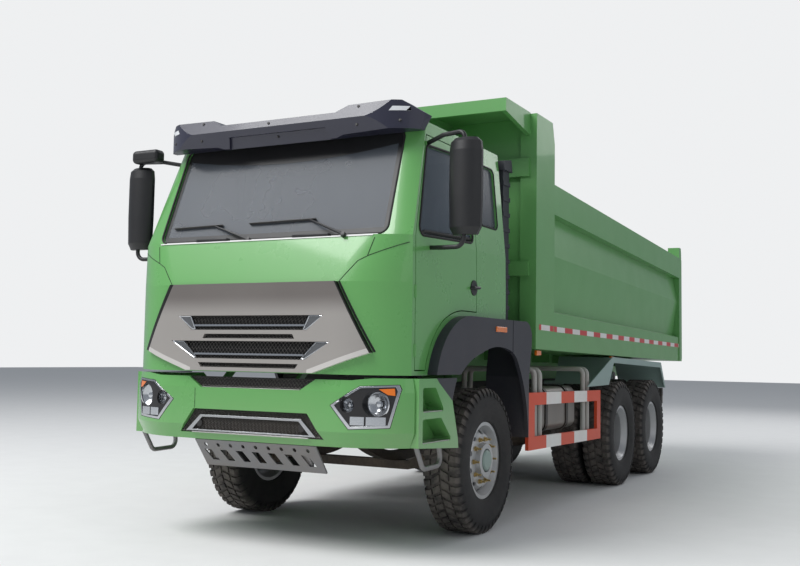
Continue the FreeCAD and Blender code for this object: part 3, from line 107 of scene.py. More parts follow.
class Signal:
    """One value in a finish's node tree; arithmetic on it adds Math nodes."""

    def __init__(self, board: "Board", socket: bpy.types.NodeSocket) -> None:
        """Keep the tree and the socket that the value comes from."""
        self.board = board
        self.socket = socket

    def math(self, operation: str, first: Number, second: Number = 0.0) -> "Signal":
        """Result of one Math node."""
        return self.board.node("ShaderNodeMath", {"operation": operation}, {0: first, 1: second})

    def __add__(self, other: Number) -> "Signal":
        """Sum."""
        return self.math("ADD", self, other)

    __radd__ = __add__

    def __sub__(self, other: Number) -> "Signal":
        """Difference."""
        return self.math("SUBTRACT", self, other)

    def __rsub__(self, other: Number) -> "Signal":
        """Difference from a number."""
        return self.math("SUBTRACT", other, self)

    def __mul__(self, other: Number) -> "Signal":
        """Product."""
        return self.math("MULTIPLY", self, other)

    __rmul__ = __mul__

    def __truediv__(self, other: Number) -> "Signal":
        """Quotient."""
        return self.math("DIVIDE", self, other)

    def __pow__(self, other: Number) -> "Signal":
        """Power."""
        return self.math("POWER", self, other)

    def __gt__(self, other: Number) -> "Signal":
        """1 where the value is greater."""
        return self.math("GREATER_THAN", self, other)

    def __lt__(self, other: Number) -> "Signal":
        """1 where the value is less."""
        return self.math("LESS_THAN", self, other)

    def __abs__(self) -> "Signal":
        """Size without sign."""
        return self.math("ABSOLUTE", self)

    def least(self, other: Number) -> "Signal":
        """The smaller of two values."""
        return self.math("MINIMUM", self, other)

    def most(self, other: Number) -> "Signal":
        """The greater of two values."""
        return self.math("MAXIMUM", self, other)

    def part(self, step: float) -> "Signal":
        """Place within a repeat of the given step, from 0 to 1."""
        return self.math("FRACT", self / step)

    def ramp(self, low: float, high: float) -> "Signal":
        """Smooth rise from 0 at low to 1 at high."""
        return self.board.node("ShaderNodeMapRange", {"interpolation_type": "SMOOTHSTEP"},
                               {"Value": self, "From Min": low, "From Max": high})


class Board:
    """Node tree of one material."""

    def __init__(self, name: str) -> None:
        """Start an empty material.

        Args:
            name: name of the material.
        """
        self.material = bpy.data.materials.new(name)
        self.material.use_nodes = True
        self.tree = self.material.node_tree
        self.tree.nodes.clear()
        self.place: Optional[Signal] = None

    def node(self, kind: str, settings: Optional[dict] = None, sockets: Optional[dict] = None,
             output: Union[int, str] = 0) -> Signal:
        """Add one node.

        Args:
            kind: Blender's type of the node.
            settings: properties, set before the sockets.
            sockets: number, colour or Signal for each input, by its name or index.
            output: name or index of the output that is returned.

        Returns:
            The chosen output.
        """
        made = self.tree.nodes.new(kind)
        for key, value in (settings or {}).items():
            setattr(made, key, value)
        for key, value in (sockets or {}).items():
            if isinstance(value, Signal):
                self.tree.links.new(value.socket, made.inputs[key])
            elif isinstance(value, tuple) and made.inputs[key].type == "RGBA":
                made.inputs[key].default_value = (*value[:3], 1.0)
            else:
                made.inputs[key].default_value = value
        return Signal(self, made.outputs[output])

    def at(self) -> Signal:
        """Place on the truck, in metres; its node is made once.

        Returns:
            The place, as a vector.
        """
        if self.place is None:
            self.place = self.node("ShaderNodeTexCoord", output="Object")
        return self.place

    def along(self, axis: int) -> Signal:
        """Place along x, y or z."""
        return self.node("ShaderNodeSeparateXYZ", None, {0: self.at()}, axis)

    def noise(self, scale: float, detail: float = 3.0, rough: float = 0.55) -> Signal:
        """Cloudy value around one half."""
        return self.node("ShaderNodeTexNoise", None,
                         {"Vector": self.at(), "Scale": scale, "Detail": detail, "Roughness": rough})

    def mix(self, share: Number, first: Union[Colour, Signal], second: Union[Colour, Signal]) -> Signal:
        """Blend of two colours."""
        return self.node("ShaderNodeMix", {"data_type": "RGBA"}, {0: share, 6: first, 7: second}, 2)

    def bump(self, height: Signal, strength: float, distance: float) -> Signal:
        """Normal tilted by a height."""
        return self.node("ShaderNodeBump", None,
                         {"Height": height, "Strength": strength, "Distance": distance})

    def close(self, shader: Signal) -> bpy.types.Material:
        """Lead a shader to the output.

        Args:
            shader: the shader.

        Returns:
            The finished material.
        """
        made = self.tree.nodes.new("ShaderNodeOutputMaterial")
        self.tree.links.new(shader.socket, made.inputs["Surface"])
        return self.material


# What several finishes share; WORN is the share of its light that worn paint keeps.
DUST = linear(150, 132, 112)
TYRE_DUST = linear(128, 120, 113)
WORN = 0.72
COAT_ROUGH = 0.06
TAPE_RED = linear(196, 40, 40)
TAPE_WHITE = linear(225, 225, 222)
TAPE_STEP = 0.45


def tape_blocks(board: Board, axis: int) -> Signal:
    """Red and white tape in turn along an axis, each half a step long."""
    return board.mix(board.along(axis).part(TAPE_STEP) > 0.5, TAPE_RED, TAPE_WHITE)


@dataclass(frozen=True)
class Finish:
    """Painted, plastic or metal surface with a little wear, dust near the ground and a fine grain."""

    name: str
    colour: Colour
    rough: float = 0.5
    metal: float = 0.0
    coat: float = 0.0
    vary: float = 0.08
    grain: float = 180.0
    depth: float = 0.0004
    dust: float = 0.25
    dust_top: float = 1.3

    def tint(self, board: Board) -> Union[Colour, Signal]:
        """Colour before wear and dust."""
        return self.colour

    def dusty(self, board: Board) -> Signal:
        """Share of dust: strongest near the ground, broken up by two cloudy patterns.

        Args:
            board: node tree of the material.

        Returns:
            The share, from 0 to 1.
        """
        height = 1.0 - board.along(2).ramp(0.2, self.dust_top)
        patches = board.noise(2.3, 5.0, 0.6).ramp(0.35, 0.75)
        fine = board.noise(38.0, 4.0, 0.7).ramp(0.3, 0.8)
        return (height * 0.8 + 0.12) * (patches * 0.6 + 0.25 + fine * 0.35) * self.dust

    def sockets(self, board: Board) -> dict:
        """Values of the shader's sockets.

        Args:
            board: node tree of the material.

        Returns:
            A number, colour or Signal for each socket.
        """
        cloud = board.noise(3.1, 4.0)
        shade = board.mix((cloud - 0.5) * self.vary * 4.0 + 0.5 * self.vary, self.tint(board),
                          tuple(WORN * c for c in self.colour))
        dusty = self.dusty(board)
        colour = board.mix(dusty, shade, DUST)
        fine = board.noise(self.grain, 2.0)
        return {"Base Color": colour, "Roughness": dusty * 0.3 + (cloud - 0.5) * 0.12 + self.rough,
                "Metallic": self.metal, "Coat Weight": self.coat, "Coat Roughness": COAT_ROUGH,
                "Normal": board.bump(fine, 0.25, self.depth)}

    def build(self) -> bpy.types.Material:
        """Make the material, once for each name.

        Returns:
            The material.
        """
        title = f"look_{self.name}"
        ready = bpy.data.materials.get(title)
        if ready is not None:
            return ready
        board = Board(title)
        return board.close(board.node("ShaderNodeBsdfPrincipled", None, self.sockets(board)))


@dataclass(frozen=True)
class BandedFinish(Finish):
    """Paint with blocks of a second colour at given places along the truck."""

    second: Colour = (0.8, 0.8, 0.8)
    centres: tuple[float, ...] = ()
    half: float = 0.1

    def tint(self, board: Board) -> Signal:
        """Second colour within half of any of the centres.

        Args:
            board: node tree of the material.

        Returns:
            The colour.
        """
        y = board.along(1)
        inside: Signal = abs(y - self.centres[0]) < self.half
        for centre in self.centres[1:]:
            inside = inside.most(abs(y - centre) < self.half)
        return board.mix(inside, self.colour, self.second)


@dataclass(frozen=True)
class GuardFinish(BandedFinish):
    """Banded boards held by plain tubes that lie further in."""

    inner: Colour = (0.6, 0.6, 0.6)
    edge: float = 1.2

    def tint(self, board: Board) -> Signal:
        """Bands only on what lies outside the edge."""
        return board.mix(abs(board.along(0)) > self.edge, self.inner, BandedFinish.tint(self, board))


@dataclass(frozen=True)
class PanelFinish(Finish):
    """Silver front panel: darker along its top, with a painted highlight on its folded lower edge and
    painted shade in its side gaps.

    fold and gap are a point (x, z) that the edge of the fold or gap runs through.
    """

    top: Colour = linear(120, 114, 110)
    # bright is the painted highlight on the fold; dark is the painted shade in the side gaps.
    bright: Colour = linear(214, 210, 205)
    dark: Colour = linear(18, 18, 19)
    top_z: Pair = (1.62, 1.78)
    fold: Pair = (0.542, 1.274)
    fold_slope: float = 0.342
    fold_from: float = 0.5
    gap: Pair = (0.712, 1.858)
    gap_slope: float = 0.5273
    shade_gap_width: float = 0.010
    shade_gap_more: float = 0.024

    def tint(self, board: Board) -> Signal:
        """The painted highlight on the fold and the painted shade in the gap are bounded by straight lines
        in (x, z); the painted shade is wider on the truck's right.

        Args:
            board: node tree of the material.

        Returns:
            The colour.
        """
        side, z = board.along(0), board.along(2)
        x = abs(side)
        flat = board.mix(z.ramp(*self.top_z), self.colour, self.top)
        # Painted highlight where the lower edge folds.
        fold = (z - (x - self.fold[0]) * self.fold_slope < self.fold[1]) * (x > self.fold_from)
        # Painted shade in the side gap, wider on the truck's right.
        inside = self.gap[0] - (z - self.gap[1]) * self.gap_slope - x
        gap = inside < ((side < 0.0) * self.shade_gap_more + self.shade_gap_width)
        return board.mix(gap, board.mix(fold, flat, self.bright), self.dark)


@dataclass(frozen=True)
class TapeFinish(Finish):
    """Reflective tape in red and white blocks."""

    def tint(self, board: Board) -> Signal:
        """Blocks along the truck."""
        return tape_blocks(board, 1)


@dataclass(frozen=True)
class GateFinish(Finish):
    """Paint of the tailgate, with tape printed along the foot of its rear face."""

    tape_z: Pair = (0.020, 0.068)
    tape_half: float = 1.10
    skin: float = 0.001

    def tint(self, board: Board) -> Signal:
        """Tape within its height above the gate's foot, on the rearmost millimetre only.

        Args:
            board: node tree of the material.

        Returns:
            The colour.
        """
        low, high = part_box("tailgate")
        x, y, z = (board.along(axis) for axis in range(3))
        inside = ((z > low[2] + self.tape_z[0]) * (z < low[2] + self.tape_z[1])
                  * (y > high[1] - self.skin) * (abs(x) < self.tape_half))
        return board.mix(inside, self.colour, tape_blocks(board, 0))


@dataclass(frozen=True)
class TyreFinish(Finish):
    """Rubber, dusty on the tread, with moulded rings on the wall."""

    ring: float = 0.012

    def sockets(self, board: Board) -> dict:
        """Dust and rings follow the distance from the nearest axle line.

        Args:
            board: node tree of the material.

        Returns:
            A number, colour or Signal for each socket.
        """
        y, z = board.along(1), board.along(2)
        near: Signal = abs(y - Y0)
        for axle in REAR_AXLES:
            near = near.least(abs(y - axle))
        radius = (near * near + (z - AXLE_Z) * (z - AXLE_Z)) ** 0.5
        tread = radius.ramp(TYRE_R - 0.05, TYRE_R - 0.005)
        patches = board.noise(9.0, 6.0, 0.65)
        rings = (radius.part(self.ring) - 0.5) * (1.0 - tread)
        share = (tread * 0.55 + 0.08) * patches.ramp(0.2, 0.7)
        return {"Base Color": board.mix(share, self.colour, TYRE_DUST),
                "Roughness": share * 0.2 + self.rough,
                "Normal": board.bump(rings * 0.2 + patches, 0.5, 0.002)}


@dataclass(frozen=True)
class GlassFinish(Finish):
    """Pane that lets part of the light through, with a dull gloss and a faint film of dust."""

    clear: float = 0.6
    gloss: float = 0.16
    film: float = 0.06

    def sockets(self, board: Board) -> dict:
        """Film of dust that dulls the pane and makes it less clear.

        Args:
            board: node tree of the material.

        Returns:
            A number, colour or Signal for each socket.
        """
        film = board.noise(2.0, 3.0, 0.5).ramp(0.3, 0.9) * self.film
        return {"Base Color": self.colour, "Roughness": film + self.rough, "Metallic": self.metal,
                "Specular IOR Level": self.gloss, "Alpha": film + (1.0 - self.clear)}

    def build(self) -> bpy.types.Material:
        """Make the material and let it be drawn as a blended surface.

        Returns:
            The material.
        """
        made = super().build()
        made.surface_render_method = "BLENDED"
        return made


@dataclass(frozen=True)
class TreadPlateFinish(Finish):
    """Bright chequer plate: crossed bars in rows."""

    pitch: float = 0.022

    def sockets(self, board: Board) -> dict:
        """Height rises along two crossing sets of slanted bars: x + y and x - y, repeated every two cells.

        Args:
            board: node tree of the material.

        Returns:
            A number, colour or Signal for each socket.
        """
        base = Finish.sockets(self, board)
        x, y = board.along(0) / self.pitch, board.along(1) / self.pitch
        first = abs((x + y).part(2.0) - 0.5).ramp(0.18, 0.05)
        second = abs((x - y).part(2.0) - 0.5).ramp(0.18, 0.05)
        base["Normal"] = board.bump(first.most(second), 0.6, 0.002)
        return base


CAB_PAINT = Finish("cab_green", linear(98, 164, 90), rough=0.28, coat=0.6, vary=0.05, grain=420,
                   depth=0.0002, dust=0.3)
BED_GREEN: dict = {"colour": linear(94, 158, 88), "rough": 0.42, "coat": 0.25, "vary": 0.10, "grain": 260,
                   "depth": 0.0004, "dust": 0.35, "dust_top": 2.2}
BED_PAINT = Finish("bed_green", **BED_GREEN)
GATE_PAINT = GateFinish("gate_green", **BED_GREEN)
INNER_PAINT = Finish("frame_black", linear(34, 35, 38), rough=0.55, grain=140, dust=0.55)
AXLE_PAINT = Finish("axle_black", linear(40, 40, 42), rough=0.6, grain=90, depth=0.001, dust=0.7)
IRON = Finish("engine_iron", linear(92, 92, 94), rough=0.6, metal=0.5, grain=60, depth=0.0015, dust=0.6)
SPRING = Finish("spring_steel", linear(46, 44, 44), rough=0.5, metal=0.4, grain=90, dust=0.6)
TANK = BandedFinish("tank_metal", linear(138, 134, 130), rough=0.42, metal=0.75, grain=300, depth=0.0003,
                    dust=0.4, second=linear(26, 26, 28), centres=(Y0 + 1.360, Y0 + 1.930), half=0.031)
FENDER = Finish("fender_grey", linear(140, 164, 158), rough=0.42, coat=0.1, dust=0.4)
SKID = Finish("skid_grey", linear(132, 134, 138), rough=0.45, metal=0.6, dust=0.5)
# Silver panel with a painted highlight on its fold and painted shade in its side gaps.
SILVER = PanelFinish("grille_silver", linear(168, 163, 158), rough=0.34, metal=0.35, coat=0.3, vary=0.06,
                     dust=0.1)
MESH = Finish("mesh_black", linear(24, 24, 26), rough=0.5, dust=0.3)
WEB = Finish("web_grey", linear(84, 82, 80), rough=0.45, metal=0.3, dust=0.2)
# Near black used as painted shade behind the grille slots and beside the panel.
SHADE_BLACK = Finish("painted_shade_black", linear(11, 11, 12), rough=0.8, dust=0.0)
END_LAMP = Finish("end_lamp", linear(104, 106, 108), rough=0.14, metal=0.4, coat=0.8, dust=0.03)
BOWL = Finish("lamp_bowl", linear(196, 199, 203), rough=0.2, metal=0.85, coat=0.3, vary=0.03, dust=0.0)
COWL = Finish("cowl_white", linear(222, 222, 220), rough=0.4, dust=0.1)
VISOR = Finish("visor_navy", linear(42, 43, 60), rough=0.34, coat=0.2, dust=0.06)
BLACK = Finish("trim_black", linear(26, 27, 30), rough=0.45, dust=0.15)
FLARE = Finish("flare_black", linear(44, 46, 56), rough=0.5, grain=500, depth=0.0003, dust=0.3)
RUBBER = Finish("rubber_black", linear(22, 22, 23), rough=0.7, dust=0.15)
CHROME = Finish("chrome", linear(205, 207, 210), rough=0.10, metal=1.0, vary=0.02, dust=0.05)
STUD = Finish("stud_brass", linear(196, 172, 118), rough=0.28, metal=0.9, vary=0.1, dust=0.1)
STEEL = Finish("bright_steel", linear(186, 188, 190), rough=0.25, metal=1.0, dust=0.1)
RIM = Finish("rim_silver", linear(186, 188, 190), rough=0.36, metal=0.55, coat=0.2, vary=0.08, dust=0.3)
TYRE = TyreFinish("tyre_rubber", linear(30, 30, 31), rough=0.78)
CLOTH = Finish("seat_cloth", linear(60, 60, 63), rough=0.9, grain=900, depth=0.002, dust=0.0)
DASH = Finish("dash_plastic", linear(58, 58, 60), rough=0.6, grain=700, dust=0.0)
AMBER = Finish("amber_lens", linear(235, 120, 30), rough=0.15, coat=0.6, dust=0.05)
RED = Finish("red_lens", linear(200, 34, 30), rough=0.15, coat=0.6, dust=0.05)
WHITE_LENS = Finish("white_lens", linear(232, 234, 236), rough=0.12, coat=0.7, dust=0.02)
SEAM = Finish("seam_dark", linear(20, 40, 20), rough=0.8, dust=0.0)
PLATE = TreadPlateFinish("tread_plate", linear(196, 196, 192), rough=0.3, metal=0.8, dust=0.2)
ORANGE = GuardFinish("guard_bands", linear(218, 72, 32), rough=0.5, coat=0.1, dust=0.06,
                     second=linear(232, 232, 228), centres=(Y0 + 1.328, Y0 + 2.106), half=0.2,
                     inner=linear(176, 178, 172), edge=1.2097)
TAPE = TapeFinish("tape_red_white", TAPE_RED, rough=0.35, dust=0.1)
SCREEN = GlassFinish("screen_glass", linear(88, 93, 100), rough=0.20, clear=0.24)
PANE = GlassFinish("side_glass", linear(84, 94, 104), rough=0.08, clear=0.28)

NODE_FINISH: dict[str, Finish] = {
    "chassis_frame": INNER_PAINT, "engine_block": IRON, "axles": AXLE_PAINT, "leaf_springs": SPRING,
    "tanks": TANK, "side_guards": ORANGE, "bumper": CAB_PAINT, "bumper_mesh": MESH, "headlamps": BLACK,
    "step_boxes": CAB_PAINT, "loop_steps": SKID, "skid_plate": SKID, "mudguards": FLARE,
    "rear_fenders": FENDER, "rear_lamps": INNER_PAINT, "air_intake": FLARE, "cab_shell": CAB_PAINT,
    "cab_glass": SCREEN, "grille_panel": SILVER, "grille_mesh": MESH, "visor": VISOR, "arch_flares": FLARE,
    "wipers": BLACK, "seats": CLOTH, "dashboard": DASH, "beacon": RED, "bed_body": BED_PAINT,
    "tailgate": GATE_PAINT, "hoist_barrel": INNER_PAINT, "hoist_stage_1": STEEL, "hoist_stage_2": STEEL,
    "hoist_stage_3": STEEL, "door": CAB_PAINT, "door_glass": PANE, "mirror": BLACK, "knuckle": AXLE_PAINT,
    "front_tyre": TYRE, "front_rim": RIM, "rear_tyres": TYRE, "rear_rims": RIM,
}


def unit(vector: np.ndarray) -> np.ndarray:
    """Vector or rows of vectors brought to length 1."""
    return vector / np.linalg.norm(vector, axis=-1, keepdims=True)


def matrix(place: Triple, axis: Triple, spin: float = 0.0) -> np.ndarray:
    """Place and turn that bring a shape's own z to the given axis.

    Args:
        place: where the shape's origin goes.
        axis: where its z points.
        spin: turn about that axis, in radians.

    Returns:
        A 4 by 4 matrix.
    """
    up = unit(np.array(axis, float))
    other = np.array([0.0, 0.0, 1.0]) if abs(up[2]) < 0.9 else np.array([0.0, 1.0, 0.0])
    side = unit(np.cross(other, up))
    third = np.cross(up, side)
    first = side * math.cos(spin) + third * math.sin(spin)
    second = np.cross(up, first)
    made = np.eye(4)
    made[:3, 0], made[:3, 1], made[:3, 2], made[:3, 3] = first, second, up, place
    return made


class Skin:
    """Points and faces of one piece, gathered before they become a mesh."""

    def __init__(self) -> None:
        """Start with nothing."""
        self.points: list[np.ndarray] = []
        self.quads: list[np.ndarray] = []
        self.rings: list[np.ndarray] = []
        self.count = 0

    def grid(self, points: np.ndarray, loop_u: bool = False, loop_v: bool = False) -> "Skin":
        """Add a surface given as rows of points, each joined to the next row and column.

        Args:
            points: array of rows by columns by 3.
            loop_u: the last row joins the first.
            loop_v: the last column joins the first.

        Returns:
            This skin; every method that adds to it returns it.
        """
        rows, cols = points.shape[:2]
        a, b = np.meshgrid(np.arange(rows if loop_u else rows - 1), np.arange(cols if loop_v else cols - 1),
                           indexing="ij")
        c, d = (a + 1) % rows, (b + 1) % cols
        quads = np.stack([a * cols + b, c * cols + b, c * cols + d, a * cols + d], axis=-1)
        self.quads.append(quads.reshape(-1, 4) + self.count)
        self.points.append(points.reshape(-1, 3))
        self.count += rows * cols
        return self

    def cap(self, ring: np.ndarray) -> "Skin":
        """Close a flat ring of points with one face.

        Args:
            ring: its points in order.

        Returns:
            This skin.
        """
        self.rings.append(np.arange(len(ring)) + self.count)
        self.points.append(ring)
        self.count += len(ring)
        return self

    def band(self, first: np.ndarray, second: np.ndarray, depth: Triple, closed: bool = True) -> "Skin":
        """Flat strip between two paths of equal count, made thick by a vector.

        Args:
            first: points of one edge.
            second: points of the other edge.
            depth: vector of its thickness.
            closed: the paths run round; otherwise the strip's two ends are capped.

        Returns:
            This skin.
        """
        lift = np.array(depth)
        rows = np.stack([first, second, second + lift, first + lift])
        self.grid(rows, loop_u=True, loop_v=closed)
        return self if closed else self.cap(rows[:, 0]).cap(rows[:, -1])

    def prism(self, outline: np.ndarray, along: Triple) -> "Skin":
        """Flat outline carried along a vector and closed at both ends.

        Args:
            outline: its points in order.
            along: the vector.

        Returns:
            This skin.
        """
        far = outline + np.array(along)
        return self.grid(np.stack([outline, far]), loop_v=True).cap(outline).cap(far)

    def block(self, low: Triple, high: Triple) -> "Skin":
        """Box between two corners.

        Args:
            low: its lowest corner.
            high: its highest corner.

        Returns:
            This skin.
        """
        (x0, y0, z0), (x1, y1, z1) = low, high
        base = np.array([(x0, y0, z0), (x1, y0, z0), (x1, y1, z0), (x0, y1, z0)])
        return self.prism(base, (0, 0, z1 - z0))

    def tube(self, path: np.ndarray, radius: Union[float, np.ndarray], sides: int = 10,
             closed: bool = False) -> "Skin":
        """Round profile carried along a path without twist.

        At each point of the path a circle lies square to the path's direction; its first
        radius is the last one with its part along the new direction taken off.

        Args:
            path: points of the middle line.
            radius: one radius, or one for each point.
            sides: corners of the profile.
            closed: the path runs round; otherwise its two ends are capped.

        Returns:
            This skin.
        """
        path = np.asarray(path, float)
        ahead = np.roll(path, -1, 0) - np.roll(path, 1, 0) if closed else np.gradient(path, axis=0)
        ahead = unit(ahead)
        side = np.cross(ahead[0], (0.31, 0.52, 0.79))
        across = []
        for direction in ahead:
            side = unit(side - direction * side.dot(direction))
            across.append(side)
        first = np.array(across)
        second = np.cross(ahead, first)
        turn = 2 * np.pi * (np.arange(sides) + 0.5) / sides
        ring = np.cos(turn)[None, :, None] * first[:, None] + np.sin(turn)[None, :, None] * second[:, None]
        points = path[:, None] + np.broadcast_to(radius, len(path))[:, None, None] * ring
        self.grid(points, loop_u=closed, loop_v=True)
        return self if closed else self.cap(points[0]).cap(points[-1])

    def lathe(self, profile: Sequence[Pair], place: Triple, axis: Triple,
              steps: int = 40) -> "Skin":
        """Profile turned about an axis: radius times cosine and sine of the turn, and its distance along.

        Args:
            profile: rows of (distance along the axis, radius).
            place: where the distance is 0.
            axis: direction of the axis.
            steps: points in a full turn.

        Returns:
            This skin.
        """
        data = np.array(profile, float)
        turn = 2 * np.pi * np.arange(steps) / steps
        local = np.stack([data[:, None, 1] * np.cos(turn), data[:, None, 1] * np.sin(turn),
                          np.broadcast_to(data[:, None, 0], (len(data), steps))], axis=-1)
        turned = matrix(place, axis)
        return self.grid(local @ turned[:3, :3].T + turned[:3, 3], loop_v=True)

    def spread(self, model: "Skin", places: Iterable[np.ndarray]) -> "Skin":
        """Copies of another skin, one for each 4 by 4 matrix.

        Args:
            model: the skin to copy.
            places: the matrices.

        Returns:
            This skin.
        """
        base = np.concatenate(model.points)
        for place in places:
            self.quads += [quads + self.count for quads in model.quads]
            self.rings += [ring + self.count for ring in model.rings]
            self.points.append(base @ place[:3, :3].T + place[:3, 3])
            self.count += len(base)
        return self

    def mirrored(self) -> "Skin":
        """Add the same shape on the other side of the truck."""
        return self.spread(self, [np.diag([-1.0, 1.0, 1.0, 1.0])])

    def piece(self, name: str, body: str, finish: Finish, slot: str, smooth: float = 35.0,
              bevel: float = 0.0, replaces: Sequence[str] = ()) -> bpy.types.Object:
        """Make the mesh object, dress it and tie it to its body.

        Args:
            name: name of the piece.
            body: body that it moves with.
            finish: its material.
            slot: name of a material slot; not used.
            smooth: edges flatter than this angle, in degrees, are shaded smooth.
            bevel: width of the rounding of its edges, in metres.
            replaces: CAD nodes that it stands for.

        Returns:
            The finished object.
        """
        faces = [face for quads in self.quads for face in quads.tolist()]
        faces += [ring.tolist() for ring in self.rings]
        mesh = bpy.data.meshes.new(name)
        mesh.from_pydata(np.concatenate(self.points).tolist(), [], faces)
        shape = bmesh.new()
        shape.from_mesh(mesh)
        bmesh.ops.remove_doubles(shape, verts=shape.verts, dist=1e-5)
        bmesh.ops.recalc_face_normals(shape, faces=shape.faces)
        shape.to_mesh(mesh)
        shape.free()
        mesh.shade_smooth()
        mesh.set_sharp_from_angle(angle=math.radians(smooth))
        made = bpy.data.objects.new(name, mesh)
        bpy.context.scene.collection.objects.link(made)
        if bevel:
            rounding = made.modifiers.new("rounding", "BEVEL")
            rounding.width = bevel
            rounding.segments = 2
            rounding.limit_method = "ANGLE"
        mesh.materials.append(finish.build())
        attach(made, body)
        if replaces:
            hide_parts(*replaces)
        LOG.info("%s: %d faces on %s", name, len(mesh.polygons), body)
        return made


class Wall:
    """Outer surface of some CAD nodes, on which trim is laid."""

    def __init__(self, *nodes: str) -> None:
        """Gather the faces of the nodes.

        Args:
            nodes: names of the CAD nodes.
        """
        points: list[Vector] = []
        faces: list[tuple[int, ...]] = []
        for name in nodes:
            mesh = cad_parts[name].data
            base = len(points)
            points += [v.co.copy() for v in mesh.vertices]
            faces += [tuple(base + i for i in face.vertices) for face in mesh.polygons]
        self.tree = BVHTree.FromPolygons(points, faces)

    def hit(self, start: Triple, way: Triple, lift: float) -> np.ndarray:
        """Point where a line meets the surface, or the nearest one where it misses.

        Args:
            start: where the line starts.
            way: its direction.
            lift: how far the point is moved back towards the start.

        Returns:
            The point.
        """
        found = self.tree.ray_cast(Vector(start), Vector(way))[0]
        if found is None:
            found = self.tree.find_nearest(Vector(start))[0]
        return np.array(found) - np.array(way) * lift

    def facing(self, places: Iterable[Pair], lift: float = 0.0005) -> np.ndarray:
        """Points of the front face at given places (x, z)."""
        return np.array([self.hit((x, FRONT_Y, z), (0, 1, 0), lift) for x, z in places])

    def beside(self, places: Iterable[Pair], side: int, lift: float = 0.0005) -> np.ndarray:
        """Points of the left or right face at given places (y from the front axle, z)."""
        return np.array([self.hit((side * BESIDE_X, Y0 + y, z), (-side, 0, 0), lift) for y, z in places])

    def front(self, outline: Sequence[Pair], lift: float = 0.0005, step: float = 0.03,
              closed: bool = False) -> np.ndarray:
        """Path over the front face, given by its (x, z) corners and divided into short runs."""
        return self.facing(divided(outline, step, closed), lift)

    def flank(self, outline: Sequence[Pair], side: int, lift: float = 0.0005, step: float = 0.03,
              closed: bool = False) -> np.ndarray:
        """Path over the left or right face, given by its (y, z) corners and divided into short runs."""
        return self.beside(divided(outline, step, closed), side, lift)


def sided(outline: Iterable[Pair], sign: int) -> list[Pair]:
    """Outline with its first coordinate times the sign of a side."""
    return [(sign * x, z) for x, z in outline]


def upright(outline: Iterable[Pair], y: float, sign: int = 1) -> np.ndarray:
    """Outline of (x, z) stood up in the plane of one y, on the side that the sign gives."""
    return np.array([(sign * x, y, z) for x, z in outline])


def divided(outline: Sequence[Pair], step: float, closed: bool = False) -> np.ndarray:
    """Corners of a flat outline with points between them.

    Args:
        outline: its corners in order.
        step: greatest distance between two points.
        closed: the last corner joins the first.

    Returns:
        Rows of points.
    """
    corners = np.array(outline, float)
    if closed:
        corners = np.vstack([corners, corners[:1]])
    rows = []
    for a, b in zip(corners, corners[1:]):
        count = max(1, int(math.ceil(np.linalg.norm(b - a) / step)))
        rows.append(a + (b - a) * (np.arange(count) / count)[:, None])
    if not closed:
        rows.append(corners[-1:])
    return np.concatenate(rows)


def evenly(outline: Union[Sequence[Pair], np.ndarray], count: int) -> np.ndarray:
    """Closed outline with count points on each edge, so that two outlines can be joined.

    Args:
        outline: its corners in order.
        count: points on each edge.

    Returns:
        Rows of points.
    """
    corners = np.array(outline, float)
    share = (np.arange(count) / count)[None, :, None]
    return (corners[:, None] + (np.roll(corners, -1, 0) - corners)[:, None] * share).reshape(-1, 2)


def softened(corners: Sequence[Pair], radius: float, steps: int = 6) -> list[Pair]:
    """Closed outline with an arc for each corner.

    The arc's centre lies on the corner's bisector, radius over the sine of half its angle away.

    Args:
        corners: the outline's corners in order.
        radius: radius of the arcs.
        steps: points on each arc.

    Returns:
        The new outline's points.
    """
    made = []
    for k, corner in enumerate(corners):
        here = np.array(corner, float)
        back = unit(np.array(corners[k - 1]) - here)
        ahead = unit(np.array(corners[(k + 1) % len(corners)]) - here)
        half = math.acos(float(np.clip(back @ ahead, -1, 1))) / 2
        centre = here + unit(back + ahead) * radius / math.sin(half)
        first, last = (here + way * radius / math.tan(half) - centre for way in (back, ahead))
        for t in np.linspace(0.0, 1.0, steps):
            made.append(tuple(centre + unit(first * (1 - t) + last * t) * radius))
    return made


def bolt(radius: float, height: float, stud: float = 0.0) -> Skin:
    """Six-sided head on a washer, with its stud's end standing proud.

    Args:
        radius: radius of the head over its corners.
        height: height of washer and head.
        stud: height of the stud above the head.

    Returns:
        The bolt's mesh, standing along z.
    """
    made = Skin()
    turn = np.pi * np.arange(6) / 3
    ring = np.stack([radius * np.cos(turn), radius * np.sin(turn), np.zeros(6)], axis=-1)
    made.lathe([(0.0, 0.0), (0.0, radius * 1.3), (height * 0.2, radius * 1.3), (height * 0.2, 0.0)],
               (0, 0, 0), (0, 0, 1), 12)
    made.prism(ring + np.array([0, 0, height * 0.2]), (0, 0, height * 0.8))
    if stud:
        made.lathe([(height, 0.0), (height, radius * 0.55), (height + stud, radius * 0.5),
                    (height + stud, 0.0)], (0, 0, 0), (0, 0, 1), 8)
    return made


